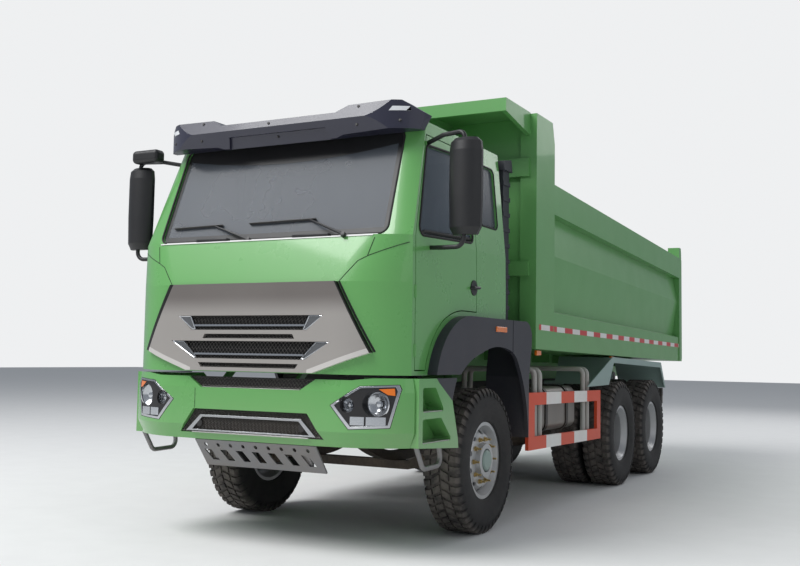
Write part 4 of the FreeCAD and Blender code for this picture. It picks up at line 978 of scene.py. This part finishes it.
@dataclass
class Tyre:
    """Tyre with a grooved crown, moulded wall rings and rows of lugs."""

    width: float = 0.315
    rim_r: float = 0.297
    groove: float = 0.016
    draft: float = 0.86
    lugs: int = 46
    steps: int = 96

    def carcass(self, skin: Skin, centre: Triple) -> None:
        """Closed wall profile turned about the axle: bead, bulge, shoulder and crown.

        Args:
            skin: mesh that it is added to.
            centre: middle of the tyre.
        """
        half, top = self.width / 2, TYRE_R - self.groove
        right = [(0.120, self.rim_r), (0.136, self.rim_r + 0.012), (0.139, self.rim_r + 0.030),
                 (0.149, 0.360), (half - 0.002, 0.400), (half - 0.001, 0.437), (half - 0.004, 0.475),
                 (half - 0.010, TYRE_R - 0.052), (half - 0.026, top - 0.012), (half - 0.050, top - 0.002),
                 (0.05, top)]
        left = [(-x, r) for x, r in reversed(right)]
        skin.lathe(right + left + right[:1], centre, (1, 0, 0), self.steps)

    def row(self, skin: Skin, centre: Triple, section: Sequence[Pair], share: float, skew: float,
            offset: float) -> None:
        """Blocks around the tread.

        A block is its section in (x, radius), held between two angles a share of the pitch
        apart; the angle drifts with x by skew, which slants the block, and the draft draws
        its outermost corners in.

        Args:
            skin: mesh that they are added to.
            centre: middle of the tyre.
            section: corners (x, radius) of a block.
            share: width of a block as a share of the pitch.
            skew: drift of the angle, in radians for a metre of x.
            offset: where the row starts, in pitches.
        """
        data = np.array(section, float)
        pitch = 2 * np.pi / self.lugs
        turn = pitch * (np.arange(self.lugs) + offset)[:, None, None]
        edge = pitch * share / 2 * np.array([-1.0, 1.0])[None, :, None]
        draft = np.where(data[:, 1] > TYRE_R - 0.006, self.draft, 1.0)
        angle = turn + edge * draft + skew * (np.abs(data[:, 0]) - np.abs(data[0, 0]))
        points = np.stack([np.broadcast_to(data[:, 0], angle.shape) + centre[0],
                           data[:, 1] * np.cos(angle) + centre[1],
                           data[:, 1] * np.sin(angle) + centre[2]], axis=-1)
        for block in points:
            skin.grid(block, loop_v=True).cap(block[0]).cap(block[1])

    def build(self, skin: Skin, centre: Triple) -> None:
        """Whole tyre around one centre: carcass, shoulder lugs and inner blocks.

        Args:
            skin: mesh that it is added to.
            centre: middle of the tyre.
        """
        self.carcass(skin, centre)
        top, low, half = TYRE_R - 0.0004, TYRE_R - self.groove - 0.010, self.width / 2
        for sign in (1, -1):
            shoulder = [(sign * 0.082, low), (sign * 0.082, top), (sign * (half - 0.030), top),
                        (sign * (half - 0.008), TYRE_R - 0.030), (sign * (half - 0.002), TYRE_R - 0.062),
                        (sign * (half - 0.016), TYRE_R - 0.062)]
            self.row(skin, centre, shoulder, 0.62, 0.35, 0.25 * sign)
            inner = [(sign * 0.008, low), (sign * 0.008, top), (sign * 0.068, top), (sign * 0.068, low)]
            self.row(skin, centre, inner, 0.78, 0.9, 0.5 + 0.25 * sign)


@dataclass
class Wheels:
    """All tyres, wheel nuts and hub caps.

    Discs and hubs are places along x, in front from the tyre's middle. A cap is rows of
    (distance along the axle, radius).
    """

    nuts: int = 10
    front_circle: float = 0.1675
    front_disc: float = 0.102
    front_hub: float = 0.114
    front_cap: Outline = ((0.0, 0.0), (0.0, 0.083), (0.030, 0.080), (0.040, 0.068), (0.044, 0.0))
    rear_tyres: Pair = (0.740, 1.090)
    rear_circle: float = 0.178
    rear_disc: float = 0.927
    rear_hub: float = 1.0655
    rear_cap: Outline = ((0.0, 0.0), (0.0, 0.094), (0.012, 0.092), (0.016, 0.060), (0.034, 0.056),
                         (0.036, 0.0))

    def nut_ring(self, x: float, y: float, way: int, radius: float, stud: float) -> Skin:
        """Nuts in a circle on a disc that faces outwards.

        Args:
            x: plane of the disc.
            y: place of the axle.
            way: sign of x that the disc faces.
            radius: radius of the circle.
            stud: length of the studs beyond the nuts.

        Returns:
            The ring's mesh.
        """
        made, head = Skin(), bolt(0.015, 0.022, stud)
        for k in range(self.nuts):
            a = 2 * math.pi * k / self.nuts
            place = (x, y + radius * math.cos(a), AXLE_Z + radius * math.sin(a))
            made.spread(head, [matrix(place, (way, 0, 0), a)])
        return made

    def front(self, side: Side) -> None:
        """Front tyre with its long studs and hub cap.

        Args:
            side: side of the truck.
        """
        s, word = side.value, side.word
        body, centre = f"front_{word}_wheel", middle(f"front_tyre_{word}")
        tread = Skin()
        Tyre().build(tread, centre)
        tread.piece(f"tread_front_{word}", body, TYRE, "tyre_rubber", 40, replaces=[f"front_tyre_{word}"])
        nuts = self.nut_ring(centre[0] + s * self.front_disc, Y0, s, self.front_circle, 0.030)
        nuts.piece(f"nuts_front_{word}", body, STUD, "rim_silver")
        cap = Skin().lathe(self.front_cap, (centre[0] + s * self.front_hub, Y0, AXLE_Z), (s, 0, 0))
        cap.piece(f"hub_cap_front_{word}", body, FENDER, "rim_silver", bevel=0.002)

    def rear(self, side: Side, axle: int) -> None:
        """Pair of rear tyres with the nuts inside the outer dish.

        Args:
            side: side of the truck.
            axle: 1 for the first rear axle, 2 for the second.
        """
        s, word = side.value, side.word
        body, y = f"rear_{word}_wheels_{axle}", REAR_AXLES[axle - 1]
        tread = Skin()
        for x in self.rear_tyres:
            Tyre(lugs=40).build(tread, (s * x, y, AXLE_Z))
        tread.piece(f"tread_rear_{word}_{axle}", body, TYRE, "tyre_rubber", 40,
                    replaces=[f"rear_tyres_{word}_{axle}"])
        nuts = self.nut_ring(s * self.rear_disc, y, s, self.rear_circle, 0.018)
        nuts.piece(f"nuts_rear_{word}_{axle}", body, STEEL, "rim_silver")
        cap = Skin().lathe(self.rear_cap, (s * self.rear_hub, y, AXLE_Z), (s, 0, 0))
        cap.piece(f"hub_cap_rear_{word}_{axle}", body, RIM, "rim_silver", bevel=0.002)

    def build(self) -> None:
        """All ten tyres."""
        for side in Side:
            self.front(side)
            for axle in (1, 2):
                self.rear(side, axle)


@dataclass
class GrilleTrim:
    """Mesh in the slots, bright lines, lamps at the slots' ends, black sheets of painted shade behind the
    slots and strips of painted shade beside the panel.

    A slot is half its width and its z at the top, then the same at its foot.
    """

    pitch: float = 0.030
    rise: float = 0.018
    wire: float = 0.0027
    slots: tuple[tuple[float, float, float, float], ...] = (
        (0.622, 1.630, 0.495, 1.528), (0.378, 1.500, 0.395, 1.468), (0.680, 1.450, 0.480, 1.325),
        (0.430, 1.296, 0.405, 1.264))
    lit: tuple[int, ...] = (0, 2)
    # The two edges of the strips of painted shade beside the panel's slanted sides.
    shade_strip_near: Outline = ((0.716, 1.858), (0.967, 1.384))
    shade_strip_far: Outline = ((0.729, 1.862), (0.980, 1.388))

    def web(self, skin: Skin, wide: Pair, low: float, high: float, y: float) -> None:
        """Zigzag wires that touch at their bends: z swings by a triangle wave along x.

        Args:
            skin: mesh that they are added to.
            wide: half the opening's width at its foot and at its top.
            low: z of its foot.
            high: z of its top.
            y: plane of the wires.
        """
        rows = max(2, int(round((high - low) / self.rise)))
        for row in range(rows + 1):
            z = low + (high - low) * row / rows
            share = (z - low) / (high - low)
            half = wide[0] + (wide[1] - wide[0]) * share
            x = np.arange(-half, half, self.pitch / 2)
            swing = np.where(np.arange(len(x)) % 2 == row % 2, 1.0, -1.0) * self.rise * 0.5
            path = np.stack([x, np.full_like(x, y), np.clip(z + swing, low, high)], axis=-1)
            skin.tube(path, self.wire, 4)

    def build(self) -> None:
        """Mesh, bright lines, end lamps, black sheets of painted shade behind the slots, and strips of
        painted shade beside the panel.
        """
        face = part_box("grille_panel")[0][1]
        web, lines, lamps, shade_sheets = Skin(), Skin(), Skin(), Skin()
        for index, (top_x, top_z, low_x, low_z) in enumerate(self.slots):
            self.web(web, (low_x, top_x), low_z, top_z, face + 0.022)
            slot = [(-low_x, low_z), (-top_x, top_z), (top_x, top_z), (low_x, low_z)]
            # Near-black sheet of painted shade at the back of the slot.
            shade_sheets.prism(upright(slot, face + 0.029), (0, 0.004, 0))
            if index not in self.lit:
                continue
            reach = low_x - 0.012
            lines.block((-reach, face + 0.003, low_z + 0.026), (reach, face + 0.016, low_z + 0.039))
            lamp = [(top_x - 0.008, top_z - 0.005), (low_x - 0.006, low_z + 0.006),
                    (low_x - 0.030, low_z + 0.006), (top_x - 0.112, top_z - 0.005)]
            for s in (1, -1):
                lamps.prism(upright(lamp, face + 0.006, s), (0, 0.014, 0))
                edge = upright(divided(lamp, 0.02, True), face + 0.0055, s)
                lines.tube(edge, 0.0042, 6, closed=True)
        web.piece("grille_web", "cab", WEB, "black_mesh", replaces=["grille_mesh"])
        lines.piece("grille_lines", "cab", CHROME, "silver_trim")
        lamps.piece("grille_end_lamps", "cab", END_LAMP, "lamp_cover", bevel=0.002)
        # Strips of painted shade in the recess beside the panel's slanted edges.
        shell = Wall("cab_shell")
        for s in (1, -1):
            near, far = (shell.front(sided(path, s), 0.0006) for path in (self.shade_strip_near, self.shade_strip_far))
            shade_sheets.band(near, far, (0, -0.003, 0), False)
        shade_sheets.piece("grille_painted_shade", "cab", SHADE_BLACK, "black_mesh")


@dataclass
class BumperTrim:
    """Seam, treads, mesh, and the bright line and plugs of the lower intake."""

    seam: Outline = ((-0.475, 1.112), (-0.475, 0.968))
    line_outer: Outline = ((-0.432, 0.922), (0.432, 0.922), (0.556, 0.805), (-0.556, 0.805))
    line_inner: Outline = ((-0.414, 0.906), (0.414, 0.906), (0.502, 0.816), (-0.502, 0.816))
    openings: tuple[tuple[Pair, float, float], ...] = (
        ((0.600, 0.485), 0.800, 0.955), ((0.430, 0.540), 1.126, 1.190))
    plug: Pair = (0.440, 0.862)

    def build(self) -> None:
        """Everything that sits on the bumper."""
        low_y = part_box("bumper")[0][1]
        seam = Skin().tube(Wall("bumper").front(self.seam), 0.0018, 6)
        seam.piece("bumper_seam", "chassis", SEAM, "cab_paint")
        outer, inner = (upright(evenly(path, 12), low_y + 0.012)
                        for path in (self.line_outer, self.line_inner))
        lines = Skin().band(outer, inner, (0, 0.008, 0))
        lines.piece("intake_line", "chassis", STEEL, "silver_trim", bevel=0.001)
        treads = Skin().block((-0.42, low_y + 0.004, 1.1185), (0.42, low_y + 0.052, 1.1225))
        treads.block((-0.50, low_y + 0.006, 0.7925), (0.50, low_y + 0.052, 0.800))
        treads.piece("bumper_treads", "chassis", PLATE, "silver_trim", bevel=0.001)
        web, plugs = Skin(), Skin()
        for wide, low, high in self.openings:
            GrilleTrim().web(web, wide, low, high, low_y + 0.026)
        web.piece("bumper_web", "chassis", WEB, "black_mesh")
        for s in (1, -1):
            plugs.lathe([(0.0, 0.0), (0.0, 0.022), (0.012, 0.026), (0.014, 0.0)],
                        (s * self.plug[0], low_y + 0.026, self.plug[1]), (0, -1, 0), 24)
        plugs.piece("intake_plugs", "chassis", BLACK, "dark_plastic")


@dataclass
class Headlamps:
    """Bright border, ringed reflectors, lamp bars and turn lamp of each headlamp.

    A round lamp is its x, z and radius. Its face lies at a depth from the front axle that
    grows with x by the sweep.
    """

    cover: Outline = ((0.668, 1.027), (0.880, 1.160), (1.121, 1.172), (1.136, 1.140), (1.075, 0.883),
                      (0.809, 0.868))
    rounds: tuple[tuple[float, float, float], ...] = ((0.795, 1.030, 0.050), (0.985, 1.040, 0.084))
    depth: float = -1.555
    sweep: float = 0.3
    sweep_from: float = 0.700
    bars: Outline = ((0.822, 0.916), (0.928, 1.048))
    bar_z: Pair = (0.900, 0.956)
    turn_low: Outline = ((1.058, 1.104), (1.078, 1.101), (1.100, 1.098))
    turn_high: Outline = ((1.004, 1.140), (1.048, 1.143), (1.094, 1.146))

    def build(self) -> None:
        """Both headlamps, mirrored."""
        lamp = Wall("headlamps")
        border, rings, bowls, amber = Skin(), Skin(), Skin(), Skin()
        outer, inner = (lamp.facing(evenly(self.drawn_in(share), 10), 0.006) for share in (0.975, 0.875))
        border.band(outer, inner, (0, 0.008, 0))
        for x, z, r in self.rounds:
            y = Y0 + self.depth + self.sweep * (x - self.sweep_from)
            rings.lathe([(0.0, r), (-0.010, r + 0.004), (-0.012, r - 0.004), (0.030, r - 0.008),
                         (0.030, r)], (x, y + 0.022, z), (0, 1, 0))
            bowls.lathe([(0.040, 0.0), (0.036, 0.3 * r), (0.024, 0.7 * r), (0.004, 0.92 * r),
                         (0.004, 0.96 * r), (0.047, 0.3 * r), (0.048, 0.0)],
                        (x, y + 0.016, z), (0, 1, 0), 32)
            bowls.lathe([(-0.001, 0.0), (0.004, 0.24 * r), (0.03, 0.26 * r), (0.042, 0.0)],
                        (x, y + 0.014, z), (0, 1, 0), 20)
        for x0, x1 in self.bars:
            low, high = (lamp.front([(x0, z), (x1, z)], 0.005) for z in self.bar_z)
            bowls.band(low, high, (0, 0.004, 0), False)
        low, high = (lamp.facing(path, 0.006) for path in (self.turn_low, self.turn_high))
        amber.band(low, high, (0, 0.005, 0), False)
        border.mirrored().piece("headlamp_borders", "chassis", CHROME, "lamp_cover", bevel=0.0015)
        rings.mirrored().piece("headlamp_rings", "chassis", CHROME, "lamp_cover")
        bowls.mirrored().piece("headlamp_reflectors", "chassis", BOWL, "lamp_cover")
        amber.mirrored().piece("headlamp_turn_lamps", "chassis", AMBER, "lamp_cover")

    def drawn_in(self, share: float) -> np.ndarray:
        """Cover's corners drawn towards its middle, to a share of their distance."""
        centre = np.mean(np.array(self.cover), axis=0)
        return centre + (np.array(self.cover) - centre) * share


@dataclass
class CabTrim:
    """Seams, cowl, glass edges, door trim, wipers, visor lamps, mirror glass and arch markers.

    Outlines on the front are (x, z), those on the flank (y from the front axle, z). A wiper is
    its pivot, the tip of its arm and the two ends of its blade along x.
    """

    seam: Outline = ((0.938, 2.158), (0.902, 2.030), (0.838, 1.997), (0.725, 1.864))
    seam_branch: Outline = ((0.902, 2.030), (1.150, 2.128))
    cowl_half: float = 0.925
    cowl_rows: tuple[float, ...] = (2.172, 2.180, 2.188, 2.196)
    cowl_boxes: Outline = ((-0.593, -0.310), (0.262, 0.565))
    screen: Outline = ((-0.984, 2.204), (-0.962, 2.954), (0.962, 2.954), (0.984, 2.204))
    screen_seal: Outline = ((-0.994, 2.194), (-0.972, 2.964), (0.972, 2.964), (0.994, 2.194))
    quarter: Outline = ((-0.158, 2.392), (-0.158, 2.888), (0.198, 2.888), (0.198, 2.392))
    window: Outline = ((-1.252, 2.190), (-1.025, 2.859), (-0.327, 2.889), (-0.327, 2.229))
    sill: Outline = ((-1.225, 2.222), (-0.350, 2.256))
    handle: Pair = (-0.322, 1.887)
    wiper_rows: tuple[tuple[Pair, Pair, Pair], ...] = (
        ((-0.150, 2.186), (-0.500, 2.312), (-0.895, -0.440)),
        ((0.700, 2.180), (0.346, 2.320), (-0.190, 0.385)))
    lamp_low: Outline = ((0.932, 3.067), (1.062, 3.072))
    lamp_high: Outline = ((0.955, 3.099), (1.085, 3.103))
    visor_bolts: Outline = ((0.690, 3.118), (0.690, 2.985), (-0.690, 3.118), (-0.690, 2.985), (0.0, 2.966),
                            (-0.06, 3.060), (1.00, 3.000), (-1.00, 3.000))
    mirror_x: float = 1.452
    mirror_half: float = 0.100
    panes: Outline = ((2.260, 2.446), (2.470, 2.782))
    marker: Outline = ((-0.058, 1.562), (0.160, 1.562))

    def seams(self) -> None:
        """Dark lines where bonnet and corner panels meet, and the pale cowl under the glass."""
        wall = Wall("cab_shell", "grille_panel")
        lines, cowl, boxes = Skin(), Skin(), Skin()
        for s in (1, -1):
            for path in (self.seam, self.seam_branch):
                lines.tube(wall.front(sided(path, s)), 0.0026, 6)
        lines.piece("cab_seams", "cab", SEAM, "cab_paint")
        rises = [wall.front([(-self.cowl_half, z), (self.cowl_half, z)], 0.004, 0.06)
                 for z in self.cowl_rows]
        for low, high in zip(rises, rises[1:]):
            cowl.band(low, high, (0, -0.002, 0), False)
        cowl.piece("cowl_strip", "cab", COWL, "dark_plastic")
        for x0, x1 in self.cowl_boxes:
            boxes.block((x0, Y0 - 1.455, 2.158), (x1, Y0 - 1.410, 2.204))
        boxes.piece("cowl_boxes", "cab", BLACK, "dark_plastic", bevel=0.006)

    def glass_edges(self) -> None:
        """Dark band printed round the windscreen, and rubber round the fixed panes.

        The band's inner edge is the outer one at 0.966 of its width, held between z 2.240
        and a parabola that sags by 0.085 in the middle of the top.
        """
        glass = Wall("cab_glass")
        outer = evenly(softened(self.screen, 0.052), 8)
        inner = outer * np.array([0.966, 1.0])
        inner[:, 1] = np.clip(inner[:, 1], 2.240, 2.872 - 0.085 * (1.0 - (inner[:, 0] / 0.95) ** 2))
        band = Skin().band(glass.facing(outer, 0.0018), glass.facing(inner, 0.0018), (0, 0.001, 0))
        band.piece("screen_band", "cab", BLACK, "dark_plastic")
        shell = Wall("cab_shell", "cab_glass")
        screen = shell.front(softened(self.screen_seal, 0.060), -0.001, 0.03, True)
        seal = Skin().tube(screen, 0.008, 8, closed=True)
        for s in (1, -1):
            quarter = shell.flank(softened(self.quarter, 0.052), s, -0.001, 0.04, True)
            seal.tube(quarter, 0.008, 8, closed=True)
        seal.piece("cab_glass_seals", "cab", RUBBER, "dark_plastic")

    def doors(self, side: Side) -> None:
        """Window rubber, sill strip and handle of one door.

        Args:
            side: side of the truck.
        """
        s, word = side.value, side.word
        door, glass = Wall(f"door_{word}"), Wall(f"door_glass_{word}")
        window = door.flank(softened(self.window, 0.052), s, -0.001, 0.04, True)
        seal = Skin().tube(window, 0.010, 8, closed=True)
        seal.tube(glass.flank(self.sill, s, 0.001, 0.1), 0.014, 6)
        seal.piece(f"door_seal_{word}", f"{word}_door", RUBBER, "dark_plastic")
        at = door.beside([self.handle], s, 0.0)[0]
        handle = Skin().lathe([(0.001, 0.0), (0.001, 0.060), (0.006, 0.058), (0.004, 0.0)],
                              at, (s, 0, 0), 32)
        grip = at + np.array([(0, -0.062, -0.004), (s * 0.026, -0.050, -0.003), (s * 0.032, 0, 0),
                              (s * 0.026, 0.050, 0.003), (0, 0.062, 0.004)])
        handle.tube(grip, 0.012, 8)
        handle.piece(f"door_handle_{word}", f"{word}_door", BLACK, "dark_plastic")

    def wipers(self) -> None:
        """Wiper arms from their pivots in the cowl, and the long blades that lie on the windscreen."""
        glass = Wall("cab_glass", "cab_shell")
        arms = Skin()
        for pivot, tip, blade in self.wiper_rows:
            root, end = glass.facing([pivot], 0.006)[0], glass.facing([tip], 0.024)[0]
            arms.lathe([(0.0, 0.0), (0.0, 0.020), (0.026, 0.017), (0.030, 0.0)], root, (0, -1, 0.4), 20)
            arms.tube(np.linspace(root + np.array([0, -0.016, 0.006]), end, 12),
                      np.linspace(0.012, 0.006, 12), 8)
            path = glass.front([(blade[0], tip[1] - 0.004), (blade[1], tip[1] + 0.004)], 0.010, 0.05)
            arms.tube(path, 0.007, 6)
            arms.tube(path + np.array([0, -0.012, 0.004]), 0.005, 6)
        arms.piece("wiper_arms", "cab", BLACK, "dark_plastic", replaces=["wipers"])

    def visor(self) -> None:
        """Marker lamps and bolts on the visor."""
        wall = Wall("visor")
        low, high = (wall.front(path, 0.004, 0.03) for path in (self.lamp_low, self.lamp_high))
        lamps = Skin().band(low, high, (0, 0.004, 0), False).mirrored()
        lamps.piece("visor_lamps", "cab", WHITE_LENS, "lamp_cover")
        places = [matrix(at, (0, -1, 0.2)) for at in wall.facing(self.visor_bolts, 0.0)]
        Skin().spread(bolt(0.009, 0.007), places).piece("visor_bolts", "cab", MESH, "dark_plastic")

    def mirror(self, side: Side) -> None:
        """Two panes of mirror glass on the rear face of the housing.

        Args:
            side: side of the truck.
        """
        x, panes = side.value * self.mirror_x, Skin()
        for low, high in self.panes:
            panes.block((x - self.mirror_half, Y0 - 1.1026, low), (x + self.mirror_half, Y0 - 1.0990, high))
        panes.piece(f"mirror_panes_{side.word}", f"{side.word}_door", CHROME, "lamp_cover", bevel=0.002)

    def markers(self) -> None:
        """Amber lamps on the arches."""
        marker, flares = Skin(), Wall("arch_flares")
        for s in (1, -1):
            strip = flares.flank(self.marker, s, 0.008, 0.03)
            marker.prism(np.concatenate([strip, strip[::-1] + np.array([0, 0, 0.042])]), (-s * 0.012, 0, 0))
        marker.piece("arch_markers", "cab", AMBER, "lamp_red", bevel=0.003)

    def build(self) -> None:
        """All trim of the cab."""
        self.seams()
        self.glass_edges()
        for side in Side:
            self.doors(side)
        self.wipers()
        self.visor()
        for side in Side:
            self.mirror(side)
        self.markers()


@dataclass
class BedTrim:
    """Reflective tape and marker lamps of the load body; y is measured from the front axle."""

    tape_front: float = 0.900
    tape_rear: float = 6.380
    tape_height: float = 0.048
    tape_proud: float = 0.0002
    post: Pair = (1.270, 1.300)
    post_step: float = 0.012
    markers: tuple[float, ...] = (0.97, 3.25)
    marker_x: float = 1.215
    marker_half: tuple[float, float, float] = (0.012, 0.055, 0.022)

    def tape_edge(self, y: float) -> float:
        """Height of the tape's lower edge, falling towards the rear."""
        return 1.606 - 0.01252 * (y - 0.947)

    def low_edge(self, y: float) -> float:
        """Height of the body's lower edge, falling towards the rear."""
        return 1.440 - 0.088 * (y - 0.850) / 5.660

    def build(self) -> None:
        """Everything that rides on the bed."""
        tape, markers = Skin(), Skin()
        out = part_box("bed_body")[1][0]
        runs = ((self.tape_front, self.post[0], out), (self.post[1], self.tape_rear, out - self.post_step))
        for s in (1, -1):
            for y0, y1, x in runs:
                z0, z1 = self.tape_edge(y0), self.tape_edge(y1)
                ring = np.array([(s * x, Y0 + y0, z0), (s * x, Y0 + y1, z1),
                                 (s * x, Y0 + y1, z1 + self.tape_height),
                                 (s * x, Y0 + y0, z0 + self.tape_height)])
                ring[:, 0] += s * self.tape_proud
                tape.prism(ring, (s * 0.0010, 0, 0))
            for y in self.markers:
                at = np.array([s * self.marker_x, Y0 + y, self.low_edge(y) - 0.030])
                markers.block(at - self.marker_half, at + self.marker_half)
        tape.piece("side_tape", "bed", TAPE, "bed_paint")
        markers.piece("bed_markers", "bed", AMBER, "lamp_red", bevel=0.004)


@dataclass
class FrameTrim:
    """Bolts on the rails, treads on the steps and lenses on the rear lamps."""

    rail_x: float = 0.430
    rail_run: tuple[float, float, float] = (0.80, 5.75, 0.165)
    rail_z: Pair = (0.890, 1.070)
    step_x: Pair = (1.098, 1.222)
    steps: tuple[tuple[float, float, float], ...] = ((-1.255, -0.815, 0.776), (-1.255, -0.945, 0.985))
    red_x: Pair = (0.87, 1.10)
    amber_x: Pair = (0.78, 0.86)
    lens_z: Pair = (0.910, 0.990)

    def build(self) -> None:
        """Everything small on the chassis."""
        bolts, treads, lenses, ambers = Skin(), Skin(), Skin(), Skin()
        head = bolt(0.012, 0.010)
        for s in (1, -1):
            for y in np.arange(*self.rail_run):
                for z in self.rail_z:
                    bolts.spread(head, [matrix((s * self.rail_x, Y0 + y, z), (s, 0, 0))])
        bolts.piece("rail_bolts", "chassis", STEEL, "frame_paint")
        for s in (1, -1):
            for y0, y1, z in self.steps:
                x0, x1 = sorted(s * x for x in self.step_x)
                treads.block((x0, Y0 + y0, z + 0.0003), (x1, Y0 + y1, z + 0.006))
        treads.piece("step_treads", "chassis", PLATE, "silver_trim", bevel=0.001)
        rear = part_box("rear_lamps")[1][1]
        for s in (1, -1):
            for skin, wide in ((lenses, self.red_x), (ambers, self.amber_x)):
                x0, x1 = sorted(s * x for x in wide)
                skin.block((x0, rear - 0.002, self.lens_z[0]), (x1, rear + 0.010, self.lens_z[1]))
        lenses.piece("tail_lenses", "chassis", RED, "lamp_red", bevel=0.003)
        ambers.piece("tail_turn_lenses", "chassis", AMBER, "lamp_red", bevel=0.003)


@dataclass(frozen=True)
class Lamp:
    """Square soft lamp, turned to a point."""

    name: str
    place: tuple[float, float, float]
    size: float
    power: float
    aim: tuple[float, float, float] = (0.0, 0.0, 1.5)

    def build(self) -> None:
        """Hang the lamp in the scene."""
        data = bpy.data.lights.new(self.name, "AREA")
        data.size = self.size
        data.energy = self.power
        made = bpy.data.objects.new(self.name, data)
        made.location = self.place
        made.rotation_euler = (Vector(self.aim) - Vector(self.place)).to_track_quat("-Z", "Y").to_euler()
        bpy.context.scene.collection.objects.link(made)


@dataclass
class Studio:
    """Pale floor, soft light and the photograph's camera; angles are in degrees."""

    lens: float = 44.94
    sensor: float = 36.0
    camera_x: float = 4.232
    camera_y: float = -7.281
    camera_z: float = 1.361
    pan: float = 27.70
    pitch: float = 4.29
    roll: float = 0.90
    shift: Pair = (-0.0065, -0.0021)
    floor_half: float = 60.0
    floor_tones: tuple[Colour, Colour] = ((0.74, 0.74, 0.73), (0.80, 0.80, 0.79))
    lamps: tuple[Lamp, ...] = (Lamp("key", (-7.0, -13.0, 17.0), 13.0, 4200.0, (0.0, -2.0, 1.5)),
                               Lamp("fill", (12.0, -6.0, 8.0), 10.0, 150.0),
                               Lamp("back", (3.0, 14.0, 11.0), 10.0, 600.0, (0.0, 1.0, 1.5)))
    sky: Colour = (0.80, 0.86, 0.95)
    sky_strength: float = 0.38
    backdrop: Colour = (0.86, 0.87, 0.88)

    def camera(self) -> None:
        """Camera that looks back at the truck's front corner, panned, tilted and rolled."""
        a, p, ro = (math.radians(v) for v in (self.pan, self.pitch, self.roll))
        ahead = np.array([-math.sin(a) * math.cos(p), math.cos(a) * math.cos(p), math.sin(p)])
        right = np.array([math.cos(a), math.sin(a), 0.0])
        up = np.cross(right, ahead)
        right, up = right * math.cos(ro) + up * math.sin(ro), up * math.cos(ro) - right * math.sin(ro)
        data = bpy.data.cameras.new("camera")
        data.lens = self.lens
        data.sensor_width = self.sensor
        data.shift_x, data.shift_y = self.shift
        data.clip_end = 200.0
        made = bpy.data.objects.new("camera", data)
        turn = np.eye(4)
        turn[:3, 0], turn[:3, 1], turn[:3, 2] = right, up, -ahead
        turn[:3, 3] = (self.camera_x, Y0 + self.camera_y, self.camera_z)
        made.matrix_world = Matrix(turn.tolist())
        bpy.context.scene.collection.objects.link(made)
        bpy.context.scene.camera = made

    def floor(self) -> None:
        """Wide pale floor with a faint grain; seen by the camera it reads near white."""
        mesh = bpy.data.meshes.new("floor")
        half = self.floor_half
        corners = [(-half, -half, 0), (half, -half, 0), (half, half, 0), (-half, half, 0)]
        mesh.from_pydata(corners, [], [(0, 1, 2, 3)])
        made = bpy.data.objects.new("floor", mesh)
        bpy.context.scene.collection.objects.link(made)
        board = Board("floor_pale")
        colour = board.mix(board.noise(3.0, 4.0), *self.floor_tones)
        mesh.materials.append(board.close(board.node("ShaderNodeBsdfPrincipled", None,
                                                     {"Base Color": colour, "Roughness": 0.9})))

    def world(self) -> None:
        """Soft sky that lights the truck, and a paler one that only the camera sees."""
        made = bpy.data.worlds.new("sky")
        bpy.context.scene.world = made
        made.use_nodes = True
        tree = made.node_tree
        tree.nodes.clear()
        both = tree.nodes.new("ShaderNodeMixShader")
        for slot, colour, strength in ((1, self.sky, self.sky_strength), (2, self.backdrop, 1.0)):
            ground = tree.nodes.new("ShaderNodeBackground")
            ground.inputs["Color"].default_value = (*colour, 1.0)
            ground.inputs["Strength"].default_value = strength
            tree.links.new(ground.outputs[0], both.inputs[slot])
        path, out = tree.nodes.new("ShaderNodeLightPath"), tree.nodes.new("ShaderNodeOutputWorld")
        tree.links.new(path.outputs["Is Camera Ray"], both.inputs[0])
        tree.links.new(both.outputs[0], out.inputs["Surface"])

    def build(self) -> None:
        """Camera, floor, lamps and sky."""
        self.camera()
        self.floor()
        for lamp in self.lamps:
            lamp.build()
        self.world()
        bpy.context.scene.view_settings.view_transform = "Standard"


def paint_nodes() -> None:
    """Give every CAD node its finish, by its name without side or number."""
    for name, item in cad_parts.items():
        stem = name
        while stem not in NODE_FINISH and "_" in stem:
            stem = stem.rsplit("_", 1)[0]
        item.data.materials.clear()
        item.data.materials.append(NODE_FINISH[stem].build())
        LOG.info("%s takes %s", name, NODE_FINISH[stem].name)


def main() -> None:
    """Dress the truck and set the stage."""
    logging.basicConfig(level=logging.INFO, format="%(message)s")
    paint_nodes()
    for group in (Wheels(), GrilleTrim(), BumperTrim(), Headlamps(), CabTrim(), BedTrim(), FrameTrim(),
                  Studio()):
        group.build()


if __name__ == "__main__":
    main()
